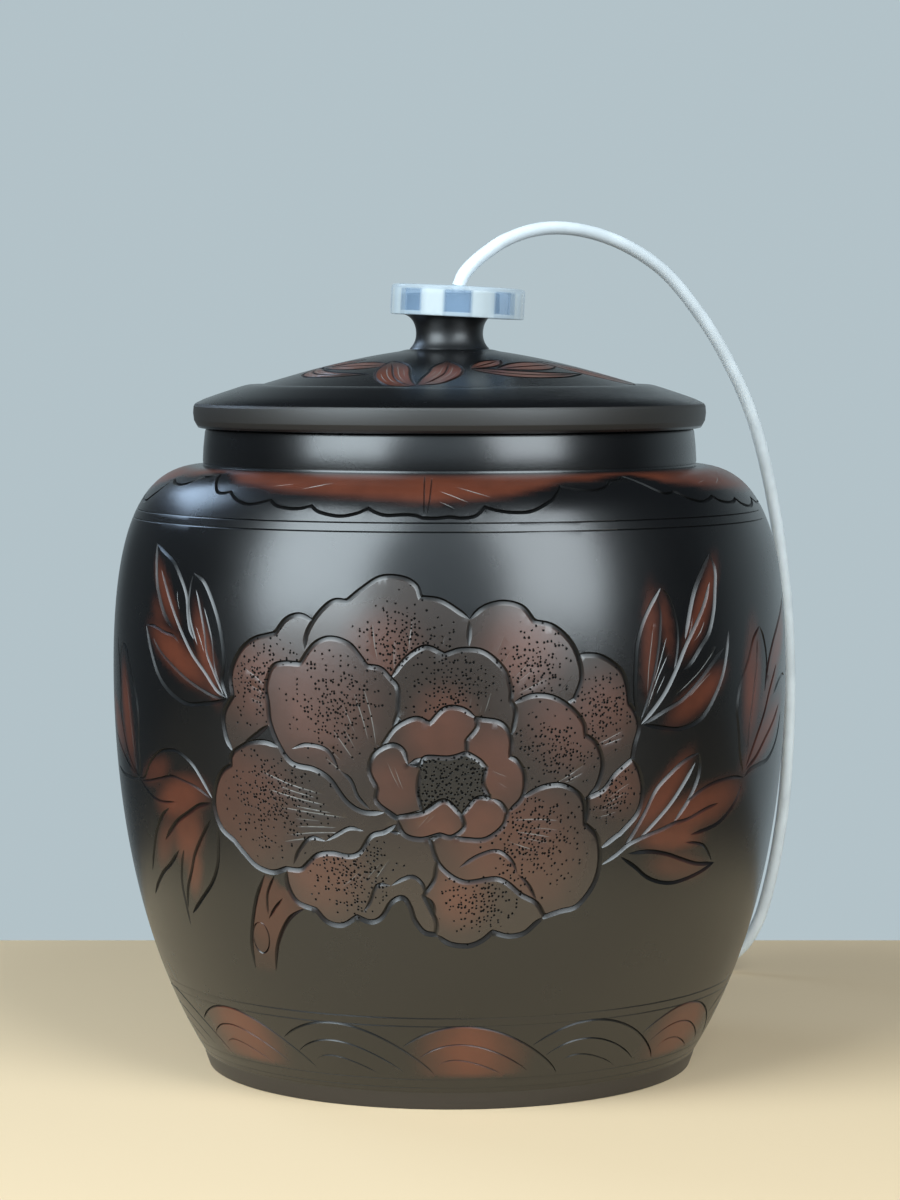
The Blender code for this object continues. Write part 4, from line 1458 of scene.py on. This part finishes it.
def times(tree, first, second):
    return maths(tree, "MULTIPLY", first, second)


# %% [markdown]
# ## Burnished clay
#
# The clay is near black, burnished to a soft gloss. Brick red is rubbed into the carved parts, and is worn in
# clouds. The stippled dots are dark and dry. The deep cuts are dry, and are darkened and lose gloss as
# painted shade, most of all on the wall of a cut that faces down. The stamens and petals are made paler, as
# dust and a painted sheen. Fine scratches are pale, and one turned band is left matt. All of it could be
# painted by hand, but the carving's own measures steer it here and fit every groove. The dots are some cells
# of a Voronoi texture on the flat sheet, which keeps them round.

# %% The clay's colours
BLACK = (0.0030, 0.0031, 0.0034, 1)
RED = (0.115, 0.028, 0.012, 1)
# The pale of dust and of a painted sheen on the stamens and petals.
PALE_DUST_AND_SHEEN = (0.068, 0.057, 0.045, 1)
SCRATCH = (0.200, 0.200, 0.185, 1)
# The colour of the pits, which is also the painted shade in the cuts.
PIT_AND_SHADE = (0.0015, 0.0015, 0.0015, 1)


# %% The pits of the stipple, and a turned band
def stipple(tree, flat, words):
    """One in the pits of the stipple and nought between them: some of the cells on the flat sheet."""
    cells = add_node(tree, "TexVoronoi", {"voronoi_dimensions": "2D"}, Vector=flat, Scale=62.0)
    parts = add_node(tree, "SeparateColor", Color=cells.outputs["Color"])
    size = maths(tree, "MULTIPLY_ADD", words["pale"], 0.08, times(tree, parts.outputs[1], 0.13))
    near = ramp(tree, maths(tree, "SUBTRACT", cells.outputs["Distance"], size), 0.22, 0.13)
    return times(tree, near, maths(tree, "LESS_THAN", parts.outputs[0], words["dots"]))


def between(tree, height, low, high):
    """One between two heights and nought outside them."""
    edge = 0.0003
    above = ramp(tree, height, low - edge, low + edge)
    return times(tree, above, ramp(tree, height, high + edge, high - edge))


# %% The clay, and how it is rubbed and worn
def clay(name, band_low, band_high, band_colour, band_rough, neck=1.0):
    """Burnished black clay, with one turned band that is left matt and a drier neck above a height."""
    made, shader = new_material(name, BLACK[:3], 0.34)
    shader.inputs["IOR"].default_value = 1.70
    tree = made.node_tree
    place = add_node(tree, "TexCoord")
    words = {
        word: add_node(tree, "Attribute", {"attribute_name": word}).outputs["Fac"]
        for word in ("rub", "dots", "pale", "groove", "scratch", "shade")
    }
    cloud = add_node(tree, "TexNoise", Vector=place.outputs["Object"], Scale=38.0, Detail=5.0, Roughness=0.6)
    grain = add_node(tree, "TexNoise", Vector=place.outputs["Object"], Scale=900.0, Detail=3.0).outputs["Fac"]
    worn = ramp(tree, cloud.outputs["Fac"], 0.30, 0.62, 0.65, 1.0)
    red = times(tree, words["rub"], worn)
    colour = mixed(tree, red, BLACK, RED)
    # The stamens and petals are paler: dust and a painted sheen.
    colour = mixed(tree, times(tree, words["pale"], 0.75), colour, PALE_DUST_AND_SHEEN)
    colour = mixed(tree, times(tree, words["scratch"], 0.9), colour, SCRATCH)

    pits = stipple(tree, place.outputs["UV"], words)
    # Painted shade: the deep cuts, most of all the wall of a cut that faces down, are darkened and lose
    # gloss.
    colour = mixed(tree, times(tree, words["groove"], 0.9), colour, PIT_AND_SHADE)
    dark = maths(tree, "MAXIMUM", pits, words["shade"])
    groove_shade = times(tree, words["groove"], 0.55)
    dark = maths(tree, "MAXIMUM", dark, groove_shade)
    colour = mixed(tree, dark, colour, PIT_AND_SHADE)

    height = add_node(tree, "SeparateXYZ", Vector=place.outputs["Object"]).outputs["Z"]
    band = between(tree, height, band_low, band_high)
    colour = mixed(tree, band, colour, band_colour)
    tree.links.new(colour, shader.inputs["Base Color"])

    gloss = ramp(tree, cloud.outputs["Fac"], 0.0, 1.0, 0.23, 0.30)
    dry = maths(tree, "MULTIPLY_ADD", red, 0.08, gloss)
    rough = mixed(tree, band, dry, band_rough)
    rough = mixed(tree, ramp(tree, height, neck, neck + 0.001), rough, 0.40)
    tree.links.new(mixed(tree, dark, rough, 0.45), shader.inputs["Roughness"])
    # Less gloss in the pits and in the painted shade.
    shine = maths(tree, "MULTIPLY_ADD", dark, -0.45, 0.5)
    tree.links.new(shine, shader.inputs["Specular IOR Level"])

    raised = maths(tree, "SUBTRACT", 1.0, pits)
    bump = add_node(tree, "Bump", Height=raised, Strength=0.9, Distance=0.0004)
    fine = add_node(tree, "Bump", Height=grain, Normal=bump.outputs[0], Strength=0.10, Distance=0.0002)
    tree.links.new(fine.outputs[0], shader.inputs["Normal"])
    return made


# %% [markdown]
# ## Silicone and steel
#
# The cap and the hose are soft silicone, which scatters some light and lets the rest through. True scattering
# inside the thin skins would be noisy, so a part of the light simply passes, by the shader's alpha. The
# strainer is drawn and brushed steel. Noise stretched along the lines gives it its brushed gloss.

# %% Silicone
def silicone(name, colour, roughness, solid, milky=None, milky_solid=0.6):
    """Translucent rubber: it scatters some light and lets the rest through. Thick ribs look milky."""
    made, shader = new_material(name, colour, roughness)
    shader.inputs["IOR"].default_value = 1.41
    tree = made.node_tree
    place = add_node(tree, "TexCoord").outputs["Object"]
    cloud = add_node(tree, "TexNoise", Vector=place, Scale=60.0, Detail=4.0).outputs["Fac"]
    scuff = add_node(tree, "TexNoise", Vector=place, Scale=150.0, Detail=2.0).outputs["Fac"]
    darker = tuple(0.86 * part for part in colour)
    base = mixed(tree, ramp(tree, cloud, 0.3, 0.7), (*darker, 1), (*colour, 1))
    alpha = ramp(tree, cloud, 0.3, 0.7, solid - 0.03, solid + 0.03)
    if milky:
        rib = add_node(tree, "Attribute", {"attribute_name": "rib"}).outputs["Fac"]
        base = mixed(tree, rib, base, (*milky, 1))
        alpha = mixed(tree, rib, alpha, milky_solid)
    tree.links.new(base, shader.inputs["Base Color"])
    tree.links.new(alpha, shader.inputs["Alpha"])
    rough = ramp(tree, scuff, 0.3, 0.7, roughness - 0.02, roughness + 0.02)
    tree.links.new(rough, shader.inputs["Roughness"])
    return made


# %% Steel
def brushed_steel(name):
    """Stainless steel with fine drawn lines round the cage."""
    made, shader = new_material(name, (0.62, 0.62, 0.60), 0.28, 1.0)
    tree = made.node_tree
    place = add_node(tree, "TexCoord").outputs["Object"]
    spread = add_node(tree, "Mapping", Vector=place, Scale=(40.0, 40.0, 2500.0)).outputs[0]
    lines = add_node(tree, "TexNoise", Vector=spread, Scale=1.0, Detail=3.0).outputs["Fac"]
    tree.links.new(ramp(tree, lines, 0.3, 0.7, 0.20, 0.38), shader.inputs["Roughness"])
    colour = mixed(tree, lines, (0.56, 0.56, 0.54, 1), (0.68, 0.68, 0.66, 1))
    tree.links.new(colour, shader.inputs["Base Color"])
    return made


# %% [markdown]
# Each piece gets one finish. The jar and the lid are also told which body carries them.

# %% A finish for each piece
jar_clay = clay("burnished clay", -0.01, 0.0076, (0.012, 0.009, 0.009, 1), 0.42)
lid_clay = clay("burnished clay of the lid", 0.2855, 0.2950, (0.016, 0.014, 0.012, 1), 0.50, 0.3188)
cap_rubber = silicone("clear blue silicone", (0.34, 0.50, 0.70), 0.15, 0.32, (0.66, 0.73, 0.75), 0.52)
hose_rubber = silicone("milky silicone", (0.82, 0.88, 0.91), 0.35, 0.90)
tie_rubber = silicone("tie silicone", (0.80, 0.81, 0.81), 0.45, 0.9)
steel = brushed_steel("strainer steel")
for piece, look, slot in (
    (jar, jar_clay, "burnished_clay"),
    (lid, lid_clay, "lid_clay"),
    (cap, cap_rubber, "cap_silicone"),
    (dip, hose_rubber, "hose_silicone"),
    (arch, hose_rubber, "hose_silicone"),
    (drop, hose_rubber, "hose_silicone"),
    (tie, tie_rubber, "tie_silicone"),
    (nodes["strainer_spigot"], steel, "spigot_steel"),
    (nodes["strainer_cage"], steel, "strainer_steel"),
):
    piece.data.materials.clear()
    piece.data.materials.append(look)
    print(piece.name, "is finished in", look.name)
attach(jar, "jar")
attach(lid, "lid")

# %% [markdown]
# ## Camera
#
# A long lens from a metre and a half away shows the jar almost without perspective, as the photograph does.
# The jar, the collar and the lid's rim are seen as narrow ellipses, which fix how high the camera stands and
# how far it looks down.

# %% Camera
scene = bpy.context.scene
scene.view_settings.view_transform = "Standard"

lens = bpy.data.cameras.new("camera")
lens.lens = 102
lens.sensor_width = 36
camera = new_object("camera", lens)
camera.location = (0.0002, -1.5186, 0.3211)
camera.rotation_euler = (math.radians(90 - 4.298), 0, 0)
scene.camera = camera

# %% [markdown]
# ## Light
#
# Dark polished clay shows little but what it mirrors. So the light is made for its reflections: two tall
# windows give the long highlights on both shoulders, and two dim boxes stand for a pale wall between them
# and a gap behind. Area lights are soft and can be placed one by one, where a picture of a room couldn't.

# %% Soft boxes round the jar
def soft_box(name, turn, away, height, width, tall, power, colour):
    """A large soft light that faces the jar, turned round it by an angle from the camera's side."""
    light = bpy.data.lights.new(name, "AREA")
    light.shape = "RECTANGLE"
    light.size = width
    light.size_y = tall
    light.energy = power
    light.color = colour
    made = new_object(name, light)
    a = math.radians(turn)
    made.location = (away * math.sin(a), -away * math.cos(a), height)
    made.rotation_euler = (Vector((0, 0, 0.6)) - made.location).to_track_quat("-Z", "Y").to_euler()
    made.visible_camera = False
    return made


soft_box("left window", -47, 1.9, 1.35, 1.55, 2.2, 79, (0.81, 0.93, 1.0))
soft_box("right window", 36, 1.9, 1.35, 1.25, 2.2, 57, (0.84, 0.94, 1.0))
soft_box("wall between the windows", -3.5, 1.9, 1.35, 1.5, 2.2, 7, (0.75, 0.90, 1.0))
soft_box("gap behind on the left", -128, 1.6, 1.25, 0.8, 0.5, 7, (0.56, 0.75, 1.0))
print("lights:", *sorted(light.name for light in bpy.data.lights))

# %% [markdown]
# ## Floor
#
# The floor is a plain pale plane. In the jar's gloss a wide pale floor would show as a bright ring, where the
# real jar mirrors a darker room. So the floor turns dark away from the jar, but only for light and mirrored
# rays. The camera itself always sees it pale.

# %% Floor
FLOOR_COLOUR = (0.77, 0.58, 0.365)
FAR_COLOUR = (0.11, 0.083, 0.055)

bpy.ops.mesh.primitive_plane_add(size=1)
floor = bpy.context.object
floor.name = "floor"
floor.data.transform(Matrix.Translation((0, -0.45, 0)) @ Matrix.Diagonal((3.4, 1.5, 1, 1)))
floor_look, shader = new_material("pale floor", FLOOR_COLOUR, 0.8)
tree = floor_look.node_tree
away = add_node(tree, "VectorMath", {"operation": "LENGTH"}, i0=add_node(tree, "TexCoord").outputs["Object"])
ray = add_node(tree, "LightPath")
unseen = maths(tree, "SUBTRACT", 1.0, ray.outputs["Is Camera Ray"])
far = times(tree, ramp(tree, away.outputs["Value"], 0.34, 0.50), unseen)
floor_colour = mixed(tree, far, (*FLOOR_COLOUR, 1), (*FAR_COLOUR, 1))
tree.links.new(floor_colour, shader.inputs["Base Color"])
floor.data.materials.append(floor_look)

# %% [markdown]
# ## Backdrop
#
# The room is dark but for a pale backdrop behind the jar. It could be a wall, but a wall would also stop the
# light. A world shader needs none: it is pale low down behind the jar, less so to the left, and wherever the
# camera itself looks.

# %% Backdrop
world = bpy.data.worlds.new("backdrop")
world.use_nodes = True
scene.world = world
sky = world.node_tree
way = add_node(sky, "TexCoord")
parts = add_node(sky, "SeparateXYZ", Vector=way.outputs["Generated"])
behind = ramp(sky, parts.outputs["Y"], 0.10, 0.85)
low = ramp(sky, parts.outputs["Z"], 0.52, 0.16)
left = ramp(sky, parts.outputs["X"], -0.50, -0.12, 0.12, 1.0)
pale = times(sky, times(sky, behind, low), left)
seen = add_node(sky, "LightPath").outputs["Is Camera Ray"]
pale = maths(sky, "MAXIMUM", pale, seen)
shade = mixed(sky, pale, (0.020, 0.024, 0.029, 1), (0.45, 0.54, 0.58, 1))
sky.links.new(shade, sky.nodes["Background"].inputs["Color"])
print("backdrop:", world.name)
